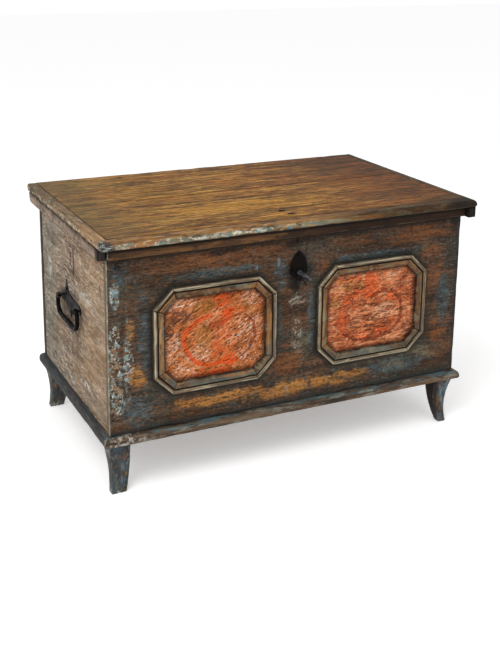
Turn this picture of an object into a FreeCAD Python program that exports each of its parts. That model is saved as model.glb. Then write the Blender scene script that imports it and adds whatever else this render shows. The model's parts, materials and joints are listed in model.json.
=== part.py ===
import FreeCAD, Part
import Sketcher
import math
import os

# A painted softwood coffer: a nailed box of inch boards on a mitred base frame with four
# splayed feet, a two-plank lid with rounded edging and end cleats, two mitred octagonal
# mouldings on the front, a spring lock with its key, two strap hinges and two drop handles.
# All lengths are millimetres. +X runs to the right, +Y to the back and +Z up. The origin is on
# the floor, in the middle of the whole object's footprint.

SIZES = {
    # case boards
    "body_width": 1000,
    "body_depth": 587,
    "wall_height": 475,
    "board_thick": 24,
    "bottom_thick": 20,
    # base frame and feet
    "foot_height": 127,
    "base_thick": 23,
    "base_front_overhang": 14,
    "base_side_overhang": 16,
    "base_rail_inset": 62,
    "base_round": 12,
    "base_low_round": 3,
    "foot_top_out": 7,
    "foot_top_width": 60,
    "foot_top_depth": 56,
    "left_foot_width": 40,
    "right_foot_width": 24,
    "left_foot_lean": 6,
    "right_foot_lean": 23,
    "foot_hollow": 8,
    "foot_inner_bulge": 6,
    "front_toe_out": 5,
    "rear_toe_out": -27,
    "foot_toe_depth": 21,
    "foot_front_hollow": 11,
    "foot_heel_bulge": 4,
    # lid
    "lid_thick": 20.5,
    "lid_front_overhang": 35,
    "lid_side_overhang": 23,
    "lid_back_overhang": 30,
    "front_plank_depth": 320,
    "nosing_top_round": 11,
    "nosing_low_round": 5,
    "edging_top_round": 7,
    "edging_low_round": 3,
    "cleat_drop": 28,
    "cleat_gap": 1,
    "cleat_round": 17,
    "cleat_heel": 12,
    "cleat_heel_round": 19,
    "left_cleat_reach": 5,
    "right_cleat_reach": 30,
    # moulding under the lid, on the case
    "strip_thick": 16,
    "strip_drop": 28,
    "strip_round": 4,
    # octagonal mouldings on the front
    "frame_side_margin": 110,
    "frame_width": 331,
    "frame_low": 85,
    "frame_tall": 274,
    "frame_corner": 49,
    "frame_band": 31,
    "bead_wide": 11,
    "bead_flat": 8,
    "bead_crown": 4,
    "groove_wide": 2.5,
    "groove_floor": 5,
    "band_high": 10,
    "band_low": 7,
    # strap hinges
    "hinge_spread": 310,
    "hinge_wide": 42,
    "hinge_leaf_thick": 3,
    "hinge_case_leaf": 130,
    "hinge_lid_leaf": 190,
    "hinge_axis_out": 6,
    "hinge_axis_drop": 6,
    "hinge_barrel": 5.5,
    "hinge_notch_room": 2,
    "leaf_nail_first": 0.25,
    "leaf_nail_second": 0.55,
    "leaf_nail_third": 0.85,
    "hinge_pin": 3,
    "pin_clearance": 0.05,
    "pin_head": 4.5,
    "pin_head_thick": 2,
    "knuckle_gap": 0.4,
    "recess_clearance": 0.3,
    # lock
    "key_across": 4,
    "key_up": 352,
    "lock_left": 58,
    "lock_right": 62,
    "lock_below": 34,
    "lock_above": 35,
    "lock_plate_thick": 2.5,
    "lock_plate_margin": 18,
    "lock_nail_inset": 9,
    "lock_deep": 31,
    "lock_wall": 2,
    "bolt_thick": 4,
    "bolt_tall": 12,
    "bolt_long": 78,
    "bolt_in": 16.5,
    "bolt_above_key": 7.2,
    "bolt_throw": 18,
    "guide_wide": 6,
    "guide_rim": 4,
    "guide_end": 2,
    "guide_clearance": 0.3,
    "notch_wide": 9,
    "notch_deep": 6,
    "spring_thick": 1.2,
    "spring_span": 32,
    "spring_foot": 4,
    # lid staple
    "staple_from_key": 35,
    "staple_wide": 10,
    "staple_leg": 3,
    "staple_gap": 8.4,
    "staple_below_bolt": 2,
    "flange_thick": 3,
    "flange_left": 53,
    "flange_right": 9,
    "flange_ahead": 19,
    "flange_behind": 33,
    "flange_nail_ahead": 13.5,
    "flange_nail_behind": 24,
    "clench_near_left": 38,
    "clench_near_ahead": 10,
    "clench_far_left": 45,
    "clench_far_behind": 26,
    "staple_room": 2,
    "staple_slot_room": 9,
    # key and its plate
    "key_shank": 4,
    "key_nose": 3,
    "key_reach": 62,
    "key_ring": 10.5,
    "key_ring_bar": 3.4,
    "key_ring_lap": 2,
    "key_bit_radius": 11.7,
    "key_bit_thick": 3,
    "key_bit_wide": 8,
    "key_shoulder": 1,
    "key_nose_gap": 0.3,
    "key_tilt": 50,
    "key_collar": 5.5,
    "key_collar_long": 4,
    "key_collar_gap": 1,
    "keyhole_clearance": 0.5,
    "keyhole_slot": 5,
    "keyhole_drop": 14,
    "escutcheon_thick": 2.5,
    "escutcheon_up": 60,
    "escutcheon_down": 23,
    "escutcheon_half": 25,
    "escutcheon_shoulder": 15,
    "escutcheon_foot_half": 13.75,
    "escutcheon_foot_down": 16,
    "escutcheon_foot_bulge": 2,
    "escutcheon_side_bulge": 5,
    "escutcheon_top_bulge": 4,
    "escutcheon_nail_high": 43,
    "escutcheon_nail_low": 6,
    "escutcheon_nail_half": 15.5,
    # drop handles
    "handle_up": 248,
    "handle_axis_out": 12,
    "handle_pivot_half": 72,
    "handle_plate_thick": 3,
    "handle_plate_up": 52,
    "handle_apex_back": 36,
    "handle_plate_down": 42,
    "handle_neck_half": 18,
    "handle_neck_up": 22,
    "handle_foot_half": 21.5,
    "handle_foot_down": 19,
    "handle_tip_hollow": 3.9,
    "handle_wing_hollow": 2.6,
    "handle_front_wing_hollow": 1.3,
    "handle_foot_hollow": 3.3,
    "handle_nail_up": 26,
    "handle_nail_down": 25,
    "handle_lobe": 13,
    "handle_eye": 8.5,
    "handle_eye_wide": 8,
    "handle_eye_shank": 3.5,
    "handle_eye_tang": 18,
    "handle_pin": 4.5,
    "handle_pin_clearance": 0.08,
    "handle_arm_gap": 1,
    "handle_tip_short": 1,
    "handle_drop": 50,
    "handle_bend": 30,
    "handle_shoulder": 8,
    "handle_grip": 7.5,
    # nails
    "nail_head": 4.5,
    "nail_head_high": 1.6,
    "nail_shank": 1.6,
    "nail_long": 15,
    "nail_clearance": 0.1,
    "clench_long": 16,
    "clench_wide": 4,
}

DOC = FreeCAD.newDocument("coffer")
SHEET = DOC.addObject("Spreadsheet::Sheet", "Sizes")
for row, (size_name, size_value) in enumerate(SIZES.items(), start=1):
    SHEET.set(f"A{row}", size_name)
    SHEET.set(f"B{row}", str(size_value))
    SHEET.setAlias(f"B{row}", size_name)
DOC.recompute()

# Places that many pieces share, worked out from the sheet.
SIDE = "(Sizes.body_width / 2)"
FRONT = (
    "((max(Sizes.key_reach; Sizes.lid_front_overhang)"
    " - Sizes.body_depth - Sizes.lid_back_overhang) / 2)"
)
BACK = f"({FRONT} + Sizes.body_depth)"
FLOOR = "(Sizes.foot_height + Sizes.base_thick)"
RIM = f"({FLOOR} + Sizes.wall_height)"
LID_BACK = f"({BACK} + Sizes.lid_back_overhang)"
LID_SIDE = f"({SIDE} + Sizes.lid_side_overhang)"
LID_FRONT = f"({FRONT} - Sizes.lid_front_overhang)"
AXIS_Y = f"({BACK} + Sizes.hinge_axis_out)"
AXIS_Z = f"({RIM} - Sizes.hinge_axis_drop)"
KEY_Z = f"({FLOOR} + Sizes.key_up)"
BOLT_LOW = f"({KEY_Z} + Sizes.bolt_above_key)"
LOCK_FRONT = f"({FRONT} + Sizes.board_thick + Sizes.lock_plate_thick)"
BOLT_FRONT = f"({LOCK_FRONT} + Sizes.bolt_in)"
BOLT_MIDDLE = f"({BOLT_FRONT} + Sizes.bolt_thick / 2)"
HANDLE_Y = f"(({FRONT} + {BACK}) / 2)"
HANDLE_Z = f"({FLOOR} + Sizes.handle_up)"
HANDLE_AXIS_X = f"({SIDE} + Sizes.handle_axis_out)"
NAIL_HOLE = "Sizes.nail_shank + Sizes.nail_clearance"
QUARTER_RISE = "(1 - sqrt(2) / 2)"  # how far a quarter circle of radius 1 stands off its chord
PAST = "1"  # how far a cutting solid runs on past the face it leaves through
ALONG_Y = FreeCAD.Vector(1, 0, 0)  # turning Z about this lays it along Y
ALONG_X = FreeCAD.Vector(0, 1, 0)  # and about this along X
NODES = []


def value(expression):
    """The number that an expression gives with the sheet as it is."""
    return float(SHEET.evalExpression(str(expression)))


def keep(piece, name):
    """Makes a document object one of the coffer's pieces."""
    piece.Label = name
    NODES.append(piece)
    return piece


def place(piece, x="0", y="0", z="0", axis=None, angle="0"):
    """Puts a piece at a point given by expressions, turned about an axis."""
    if axis is not None:
        piece.Placement = FreeCAD.Placement(FreeCAD.Vector(), FreeCAD.Rotation(axis, value(angle)))
        piece.setExpression("Placement.Rotation.Angle", angle)
    for letter, expression in zip("xyz", (x, y, z)):
        piece.setExpression(f"Placement.Base.{letter}", expression)
    return piece


def block(name, low, size):
    """A board or bar with square edges, from its lowest corner and its three lengths."""
    box = DOC.addObject("Part::Box", name)
    for edge, expression in zip(("Length", "Width", "Height"), size):
        box.setExpression(edge, expression)
    return place(box, *low)


def rod(name, start, radius, length, axis, angle):
    """A round bar from a point, along Z turned by angle about axis."""
    bar = DOC.addObject("Part::Cylinder", name)
    bar.setExpression("Radius", radius)
    bar.setExpression("Height", length)
    return place(bar, *start, axis=axis, angle=angle)


def joined(name, pieces):
    """Several solids made one."""
    union = DOC.addObject("Part::MultiFuse", name)
    union.Shapes = pieces
    return union


def minus(name, base, tool):
    """A solid with another taken out of it."""
    cut = DOC.addObject("Part::Cut", name)
    cut.Base = base
    cut.Tool = tool
    return cut


def together(name, pieces):
    """Several solids kept apart in one node."""
    group = DOC.addObject("Part::Compound", name)
    group.Links = pieces
    return group


def sketch_on(body, name, role):
    """A sketch on one of the body's own origin planes."""
    sketch = body.newObject("Sketcher::SketchObject", name)
    plane = next(feature for feature in body.Origin.OriginFeatures if feature.Role == role)
    sketch.AttachmentSupport = [(plane, "")]
    sketch.MapMode = "FlatFace"
    return sketch


def bind(sketch, kind, where, amount, expression):
    """One constraint whose value follows an expression."""
    index = sketch.addConstraint(Sketcher.Constraint(kind, *where, amount))
    sketch.setExpression(f"Constraints[{index}]", str(expression))


def arc_between(start, end, rise):
    """The arc from start to end that stands out from its chord by rise, to the right of travel,
    and the middle point of that arc."""
    across = (end[0] - start[0], end[1] - start[1])
    chord = math.hypot(*across)
    middle = FreeCAD.Vector(
        (start[0] + end[0]) / 2 + rise * across[1] / chord,
        (start[1] + end[1]) / 2 - rise * across[0] / chord,
        0,
    )
    first, last = (start, end) if rise > 0 else (end, start)
    through = Part.Arc(FreeCAD.Vector(*first, 0), middle, FreeCAD.Vector(*last, 0))
    centre = through.toShape().Curve.Center
    circle = Part.Circle(centre, FreeCAD.Vector(0, 0, 1), centre.distanceToPoint(middle))
    first_angle = math.atan2(first[1] - centre.y, first[0] - centre.x)
    last_angle = math.atan2(last[1] - centre.y, last[0] - centre.x)
    if last_angle <= first_angle:
        last_angle += 2 * math.pi
    return Part.ArcOfCircle(circle, first_angle, last_angle), middle


def tie(sketch, edge, end, point, corner):
    """Holds one point of a sketch at the two expressions of a corner."""
    bind(sketch, "DistanceX", (-1, 1, edge, end), point[0], corner[0])
    bind(sketch, "DistanceY", (-1, 1, edge, end), point[1], corner[1])


def draw(sketch, path, closed=True):
    """Lines and arcs through the corners of path. A corner is (across, up), or (across, up, rise)
    where an arc that stands out by rise leads to it. Every corner is tied to its expressions,
    and so is the middle of every arc."""
    points = [(value(corner[0]), value(corner[1])) for corner in path]
    edges = []
    for i in range(0 if closed else 1, len(path)):
        start, end = points[i - 1], points[i]
        if len(path[i]) == 2:
            line = Part.LineSegment(FreeCAD.Vector(*start, 0), FreeCAD.Vector(*end, 0))
            edges.append((sketch.addGeometry(line, False), 1, 2))
            continue
        before, (here_across, here_up, rise) = path[i - 1], path[i]
        arc, middle = arc_between(start, end, value(rise))
        edge = sketch.addGeometry(arc, False)
        edges.append((edge, 1, 2) if value(rise) > 0 else (edge, 2, 1))
        mark = sketch.addGeometry(Part.Point(middle), True)
        sketch.addConstraint(Sketcher.Constraint("PointOnObject", mark, 1, edge))
        run = f"(({here_across}) - ({before[0]}))"
        climb = f"(({here_up}) - ({before[1]}))"
        part_of_chord = f"({rise}) / sqrt({run}^2 + {climb}^2)"
        middle_corner = (
            f"({here_across}) - {run} / 2 + {climb} * {part_of_chord}",
            f"({here_up}) - {climb} / 2 - {run} * {part_of_chord}",
        )
        tie(sketch, mark, 1, middle, middle_corner)
    if not closed:
        tie(sketch, edges[0][0], edges[0][1], points[0], path[0])
    for i, (edge, _, end) in enumerate(edges):
        corner = i if closed else i + 1
        tie(sketch, edge, end, points[corner], path[corner])
        if closed or i + 1 < len(edges):
            following = edges[(i + 1) % len(edges)]
            sketch.addConstraint(
                Sketcher.Constraint("Coincident", edge, end, following[0], following[1])
            )


def draw_circle(sketch, across, up, radius):
    """A circle tied to its centre's and radius's expressions."""
    centre = (value(across), value(up))
    circle = Part.Circle(FreeCAD.Vector(*centre, 0), FreeCAD.Vector(0, 0, 1), value(radius))
    edge = sketch.addGeometry(circle, False)
    bind(sketch, "DistanceX", (-1, 1, edge, 3), centre[0], across)
    bind(sketch, "DistanceY", (-1, 1, edge, 3), centre[1], up)
    bind(sketch, "Radius", (edge,), value(radius), radius)


def slab(name, role, outlines, thickness, holes=()):
    """A body made by padding outlines, the first one outside and the rest openings in it."""
    body = DOC.addObject("PartDesign::Body", name)
    sketch = sketch_on(body, f"{name}_outline", role)
    for path in outlines:
        draw(sketch, path)
    for across, up, radius in holes:
        draw_circle(sketch, across, up, radius)
    pad = body.newObject("PartDesign::Pad", f"{name}_pad")
    pad.Profile = sketch
    pad.setExpression("Length", thickness)
    return body


def cut_through(body, role, path, towards_normal):
    """Takes a shape right through a body, on the side of the plane where the body lies."""
    sketch = sketch_on(body, f"{body.Name}_cut", role)
    draw(sketch, path)
    pocket = body.newObject("PartDesign::Pocket", f"{body.Name}_pocket")
    pocket.Profile = sketch
    pocket.Type = "ThroughAll"
    pocket.Reversed = towards_normal
    return pocket


def sink(body, role, path, depth, towards_normal):
    """A pocket of a given depth from one of the body's origin planes."""
    pocket = cut_through(body, role, path, towards_normal)
    pocket.Type = "Length"
    pocket.setExpression("Length", depth)
    return pocket


def rectangle(low_across, low_up, high_across, high_up):
    return [
        (low_across, low_up),
        (high_across, low_up),
        (high_across, high_up),
        (low_across, high_up),
    ]


def keyhole(across, up, round_radius):
    """A round hole for the shank with a slot below it for the bit."""
    half = "Sizes.keyhole_slot / 2"
    neck = f"sqrt(({round_radius})^2 - ({half})^2)"
    return [
        (f"{across} - {half}", f"{up} - Sizes.keyhole_drop"),
        (f"{across} + {half}", f"{up} - Sizes.keyhole_drop"),
        (f"{across} + {half}", f"{up} - {neck}"),
        (f"{across} - {half}", f"{up} - {neck}", f"({round_radius}) + {neck}"),
    ]


# --- case -------------------------------------------------------------------------------------


def make_case_boards():
    """Front and back boards run full width and cover the ends of the side boards."""
    wide = "Sizes.board_thick"
    hole = keyhole("Sizes.key_across", KEY_Z, "Sizes.key_shank + Sizes.keyhole_clearance")
    front_outline = rectangle(f"-{SIDE}", FLOOR, SIDE, RIM)
    front = slab("front_board", "XZ_Plane", [front_outline, hole], wide)
    keep(place(front, y=f"{FRONT} + {wide}"), "front_board")
    back_corner = (f"-{SIDE}", f"{BACK} - {wide}", FLOOR)
    back = block("back_board", back_corner, ("Sizes.body_width", wide, "Sizes.wall_height"))
    keep(back, "back_board")
    side_size = (wide, f"Sizes.body_depth - 2 * {wide}", "Sizes.wall_height")
    for name, x in (("left_side_board", f"-{SIDE}"), ("right_side_board", f"{SIDE} - {wide}")):
        keep(block(name, (x, f"{FRONT} + {wide}", FLOOR), side_size), name)


def make_bottom_boards():
    """Two planks inside the walls, on the base frame."""
    wide = "Sizes.board_thick"
    half_depth = f"(Sizes.body_depth / 2 - {wide})"
    size = (f"Sizes.body_width - 2 * {wide}", half_depth, "Sizes.bottom_thick")
    for name, y in (
        ("bottom_board_front", f"{FRONT} + {wide}"),
        ("bottom_board_rear", f"{FRONT} + {wide} + {half_depth}"),
    ):
        keep(block(name, (f"{wide} - {SIDE}", y, FLOOR), size), name)


def rounded_nose(inner, outer, low, high, top_round, low_round, outward):
    """A board's end grain profile: square inside, its outer edge rounded above and below.
    outward is -1 where the outer edge lies towards smaller coordinates, and +1 otherwise."""
    turn = "-" if outward < 0 else ""
    path = [
        (inner, low),
        (f"{outer} - {outward} * {low_round}", low),
        (outer, f"{low} + {low_round}", f"{turn}{low_round} * {QUARTER_RISE}"),
        (outer, f"{high} - {top_round}"),
        (f"{outer} - {outward} * {top_round}", high, f"{turn}{top_round} * {QUARTER_RISE}"),
        (inner, high),
    ]
    return path


def make_base_frame():
    """A flat frame under the walls: three moulded members mitred in front, and a plain rail."""
    inset = "Sizes.base_rail_inset"
    outer_x = f"({SIDE} + Sizes.base_side_overhang)"
    outer_y = f"({FRONT} - Sizes.base_front_overhang)"
    inner_x = f"({SIDE} - {inset})"
    inner_y = f"({FRONT} + {inset})"
    heights = ("Sizes.foot_height", FLOOR)
    rounds = ("Sizes.base_round", "Sizes.base_low_round")
    front_profile = rounded_nose(inner_y, outer_y, *heights, *rounds, -1)
    front = slab("base_front_moulding", "YZ_Plane", [front_profile], f"2 * {outer_x}")
    front_body = place(front, x=f"-{outer_x}")
    # the mitre sketches share the body's own frame, so they are drawn from its left end
    for sign, edge in (("", "0"), ("-", f"2 * {outer_x}")):
        step = f"({outer_x} - {inner_x})"
        near = f"{edge} + {step}" if sign == "" else f"{edge} - {step}"
        path = [(edge, outer_y), (near, inner_y), (edge, inner_y)]
        cut_through(front_body, "XY_Plane", path, True)
    keep(front_body, "base_front_moulding")
    length = f"({BACK} - {outer_y})"
    for name, sign in (("base_left_moulding", -1), ("base_right_moulding", 1)):
        profile = rounded_nose(
            f"{sign} * {inner_x}", f"{sign} * {outer_x}", *heights, *rounds, sign
        )
        side = slab(name, "XZ_Plane", [profile], length)
        reach = f"({inner_y} - {outer_y})"
        path = [
            (f"{sign} * {outer_x}", f"-{length}"),
            (f"{sign} * {inner_x}", f"-{length}"),
            (f"{sign} * {inner_x}", f"{reach} - {length}"),
        ]
        cut_through(side, "XY_Plane", path, True)
        keep(place(side, y=BACK), name)
    rail_size = (f"2 * {inner_x}", inset, "Sizes.base_thick")
    rail = block("base_back_rail", (f"-{inner_x}", f"{BACK} - {inset}", heights[0]), rail_size)
    keep(rail, "base_back_rail")


def make_foot(name, side, end, width, lean):
    """One splayed foot: its front outline and its side outline, each padded, in common.
    side is -1 left or +1 right, end is -1 front or +1 back."""
    face_x = f"{side} * {SIDE}"
    face_y = FRONT if end < 0 else BACK
    top = "Sizes.foot_height"
    out = "Sizes.foot_top_out"
    inner_top = f"{face_x} + {side} * ({out} - Sizes.foot_top_width)"
    outer_top = f"{face_x} + {side} * {out}"
    outer_low = f"{face_x} + {side} * ({out} - {lean})"
    inner_low = f"{face_x} + {side} * ({out} - {lean} - {width})"
    front_path = [
        (inner_top, top),
        (inner_low, "0", f"{side} * Sizes.foot_inner_bulge"),
        (outer_low, "0"),
        (outer_top, top, f"{-side} * Sizes.foot_hollow"),
    ]
    heel_top = f"{face_y} - {end} * Sizes.foot_top_depth"
    toe_out = "Sizes.front_toe_out" if end < 0 else "Sizes.rear_toe_out"
    toe_low = f"{face_y} + {end} * {toe_out}"
    heel_low = f"{toe_low} - {end} * Sizes.foot_toe_depth"
    side_path = [
        (heel_top, top),
        (heel_low, "0", f"{end} * Sizes.foot_heel_bulge"),
        (toe_low, "0"),
        (face_y, top, f"{-end} * Sizes.foot_front_hollow"),
    ]
    room = "Sizes.foot_top_depth * 2"
    front_form = slab(f"{name}_front_form", "XZ_Plane", [front_path], room)
    place(front_form, y=f"{face_y} + {room} / 2")
    side_form = slab(f"{name}_side_form", "YZ_Plane", [side_path], "Sizes.foot_top_width * 2")
    place(side_form, x=f"{face_x} - Sizes.foot_top_width")
    foot = DOC.addObject("Part::MultiCommon", name)
    foot.Shapes = [front_form, side_form]
    keep(foot, name)


def make_feet():
    sizes = {
        "left": (-1, "Sizes.left_foot_width", "Sizes.left_foot_lean"),
        "right": (1, "Sizes.right_foot_width", "Sizes.right_foot_lean"),
    }
    for hand, (side, width, lean) in sizes.items():
        make_foot(f"front_{hand}_foot", side, -1, width, lean)
        make_foot(f"rear_{hand}_foot", side, 1, width, lean)


def make_front_top_moulding():
    """The strip on the front board under the lid's overhang."""
    profile = [
        (FRONT, RIM),
        (f"{FRONT} - Sizes.strip_thick", RIM),
        (f"{FRONT} - Sizes.strip_thick", f"{RIM} - Sizes.strip_drop + Sizes.strip_round"),
        (
            f"{FRONT} - Sizes.strip_thick + Sizes.strip_round",
            f"{RIM} - Sizes.strip_drop",
            f"Sizes.strip_round * {QUARTER_RISE}",
        ),
        (FRONT, f"{RIM} - Sizes.strip_drop"),
    ]
    strip = slab("front_top_moulding", "YZ_Plane", [profile], "Sizes.body_width")
    keep(place(strip, x=f"-{SIDE}"), "front_top_moulding")


# --- octagonal mouldings ----------------------------------------------------------------------


def frame_profile():
    """Across the band from the outside in: a crowned bead, a groove and a sloping fillet."""
    return [
        ("0", "0"),
        ("Sizes.frame_band", "0"),
        ("Sizes.frame_band", "Sizes.band_low"),
        ("Sizes.bead_wide + Sizes.groove_wide", "Sizes.band_high"),
        ("Sizes.bead_wide + Sizes.groove_wide", "Sizes.groove_floor"),
        ("Sizes.bead_wide", "Sizes.groove_floor"),
        ("Sizes.bead_wide", "Sizes.bead_flat"),
        ("0", "Sizes.bead_flat", "Sizes.bead_crown"),
    ]


def frame_piece(name, length, across, up, turn):
    """One mitred length of the octagon. across and up give the middle of its outer edge on the
    front, and turn is how far its inward side is turned from straight down."""
    body = slab(name, "YZ_Plane", [frame_profile()], length)
    # two pieces meet at 135 degrees, so each end is cut back by half of the 45 between them
    run = f"Sizes.frame_band * {math.tan(math.pi / 8):.9f}"
    for near, far in (("0", run), (length, f"{length} - {run}")):
        path = [(near, "0"), (far, "Sizes.frame_band"), (near, "Sizes.frame_band")]
        cut_through(body, "XY_Plane", path, True)
    # local X runs along the piece, local Y points into the octagon and local Z off the front
    base = FreeCAD.Rotation(
        FreeCAD.Vector(-1, 0, 0), FreeCAD.Vector(0, 0, -1), FreeCAD.Vector(0, -1, 0), "ZXY"
    )
    turned = FreeCAD.Rotation(FreeCAD.Vector(0, 1, 0), turn).multiply(base)
    body.Placement = FreeCAD.Placement(FreeCAD.Vector(), turned)
    along = turned.multVec(FreeCAD.Vector(1, 0, 0))
    body.setExpression("Placement.Base.x", f"{across} - {along.x:.9f} * {length} / 2")
    body.setExpression("Placement.Base.y", FRONT)
    body.setExpression("Placement.Base.z", f"{up} - {along.z:.9f} * {length} / 2")
    keep(body, name)


def make_octagon(hand, side):
    """Eight mitred pieces round one painted field."""
    half_wide = "Sizes.frame_width / 2"
    half_tall = "Sizes.frame_tall / 2"
    corner = "Sizes.frame_corner"
    middle_x = f"{side} * ({SIDE} - Sizes.frame_side_margin - {half_wide})"
    middle_z = f"{FLOOR} + Sizes.frame_low + {half_tall}"
    level = f"(Sizes.frame_width - 2 * {corner})"
    upright = f"(Sizes.frame_tall - 2 * {corner})"
    slope = f"({corner} * sqrt(2))"
    in_x = f"({half_wide} - {corner} / 2)"
    in_z = f"({half_tall} - {corner} / 2)"
    pieces = (
        ("top", level, "0", half_tall),
        ("upper_right", slope, in_x, in_z),
        ("right", upright, half_wide, "0"),
        ("lower_right", slope, in_x, f"-{in_z}"),
        ("bottom", level, "0", f"-{half_tall}"),
        ("lower_left", slope, f"-{in_x}", f"-{in_z}"),
        ("left", upright, f"-{half_wide}", "0"),
        ("upper_left", slope, f"-{in_x}", in_z),
    )
    for eighths, (where, length, dx, dz) in enumerate(pieces):
        turn = 360 * eighths / len(pieces)
        label = f"{hand}_octagon_{where}"
        frame_piece(label, length, f"{middle_x} + {dx}", f"{middle_z} + {dz}", turn)


# --- lid --------------------------------------------------------------------------------------


def leaf_recess(hinge_x):
    """The housing for a lid leaf, in the rear plank's own frame with Y from the lid's back."""
    half = "(Sizes.hinge_wide / 2 + Sizes.recess_clearance)"
    front = f"{AXIS_Y} - Sizes.hinge_lid_leaf - Sizes.recess_clearance - {LID_BACK}"
    return rectangle(f"{hinge_x} - {half}", front, f"{hinge_x} + {half}", "0")


def make_lid_boards():
    """Two planks that lie on the walls, the rear one housed below for the hinge leaves."""
    front_outline = rectangle(f"-{SIDE}", FRONT, SIDE, f"{FRONT} + Sizes.front_plank_depth")
    holes = [(x, y, NAIL_HOLE) for x, y in clenched_nail_places()]
    front = slab("lid_board_front", "XY_Plane", [front_outline], "Sizes.lid_thick", holes)
    keep(place(front, z=RIM), "lid_board_front")
    rear_depth = f"({LID_BACK} - {FRONT} - Sizes.front_plank_depth)"
    rear_outline = rectangle(f"-{SIDE}", f"-{rear_depth}", SIDE, "0")
    rear = slab("lid_board_rear", "XY_Plane", [rear_outline], "Sizes.lid_thick")
    for sign in ("-", ""):
        path = leaf_recess(f"{sign}Sizes.hinge_spread")
        sink(rear, "XY_Plane", path, "Sizes.hinge_leaf_thick", True)
    keep(place(rear, y=LID_BACK, z=RIM), "lid_board_rear")


def make_lid_edging():
    """Rounded edging flush with the planks, mitred at the front corners."""
    heights = (RIM, f"{RIM} + Sizes.lid_thick")
    nose = rounded_nose(
        FRONT, LID_FRONT, *heights, "Sizes.nosing_top_round", "Sizes.nosing_low_round", -1
    )
    front = slab("lid_front_edging", "YZ_Plane", [nose], f"2 * {LID_SIDE}")
    for edge, inward in (("0", "+"), (f"2 * {LID_SIDE}", "-")):
        near = f"{edge} {inward} Sizes.lid_side_overhang"
        path = [(edge, LID_FRONT), (near, FRONT), (edge, FRONT)]
        cut_through(front, "XY_Plane", path, True)
    keep(place(front, x=f"-{LID_SIDE}"), "lid_front_edging")
    length = f"({LID_BACK} - {LID_FRONT})"
    for name, sign in (("lid_left_edging", -1), ("lid_right_edging", 1)):
        edge = rounded_nose(
            f"{sign} * {SIDE}",
            f"{sign} * {LID_SIDE}",
            *heights,
            "Sizes.edging_top_round",
            "Sizes.edging_low_round",
            sign,
        )
        side = slab(name, "XZ_Plane", [edge], length)
        path = [
            (f"{sign} * {LID_SIDE}", f"-{length}"),
            (f"{sign} * {SIDE}", f"-{length}"),
            (f"{sign} * {SIDE}", f"Sizes.lid_front_overhang - {length}"),
        ]
        cut_through(side, "XY_Plane", path, True)
        keep(place(side, y=LID_BACK), name)


def make_cleats():
    """A cleat under each end of the lid, outside the side board, its lower edge rounded and its
    back end rounded off. The left one stops at the moulding, the right one goes on under the
    nosing."""
    for name, sign, reach in (
        ("lid_left_cleat", -1, "Sizes.left_cleat_reach"),
        ("lid_right_cleat", 1, "Sizes.right_cleat_reach"),
    ):
        inner = f"{sign} * ({SIDE} + Sizes.cleat_gap)"
        outer = f"{sign} * {LID_SIDE}"
        low = f"{RIM} - Sizes.cleat_drop"
        turn = "-" if sign < 0 else ""
        profile = [
            (inner, low),
            (f"{outer} - {sign} * Sizes.cleat_round", low),
            (outer, f"{low} + Sizes.cleat_round", f"{turn}Sizes.cleat_round * {QUARTER_RISE}"),
            (outer, RIM),
            (inner, RIM),
        ]
        length = f"Sizes.body_depth + {reach} + Sizes.cleat_heel"
        cleat = slab(name, "XZ_Plane", [profile], length)
        heel = "Sizes.cleat_heel_round"
        waste = [
            ("0", low),
            ("0", f"{low} + {heel}"),
            (f"-{heel}", low, f"-{heel} * {QUARTER_RISE}"),
        ]
        cut_through(cleat, "YZ_Plane", waste, sign > 0)
        keep(place(cleat, y=f"{BACK} + Sizes.cleat_heel"), name)


# --- hinges -----------------------------------------------------------------------------------


def leaf_nail_places(length):
    """How far along its leaf from the hinge's axis each of the three nails sits."""
    shares = ("Sizes.leaf_nail_first", "Sizes.leaf_nail_second", "Sizes.leaf_nail_third")
    return [f"{length} * {share}" for share in shares]


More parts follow.
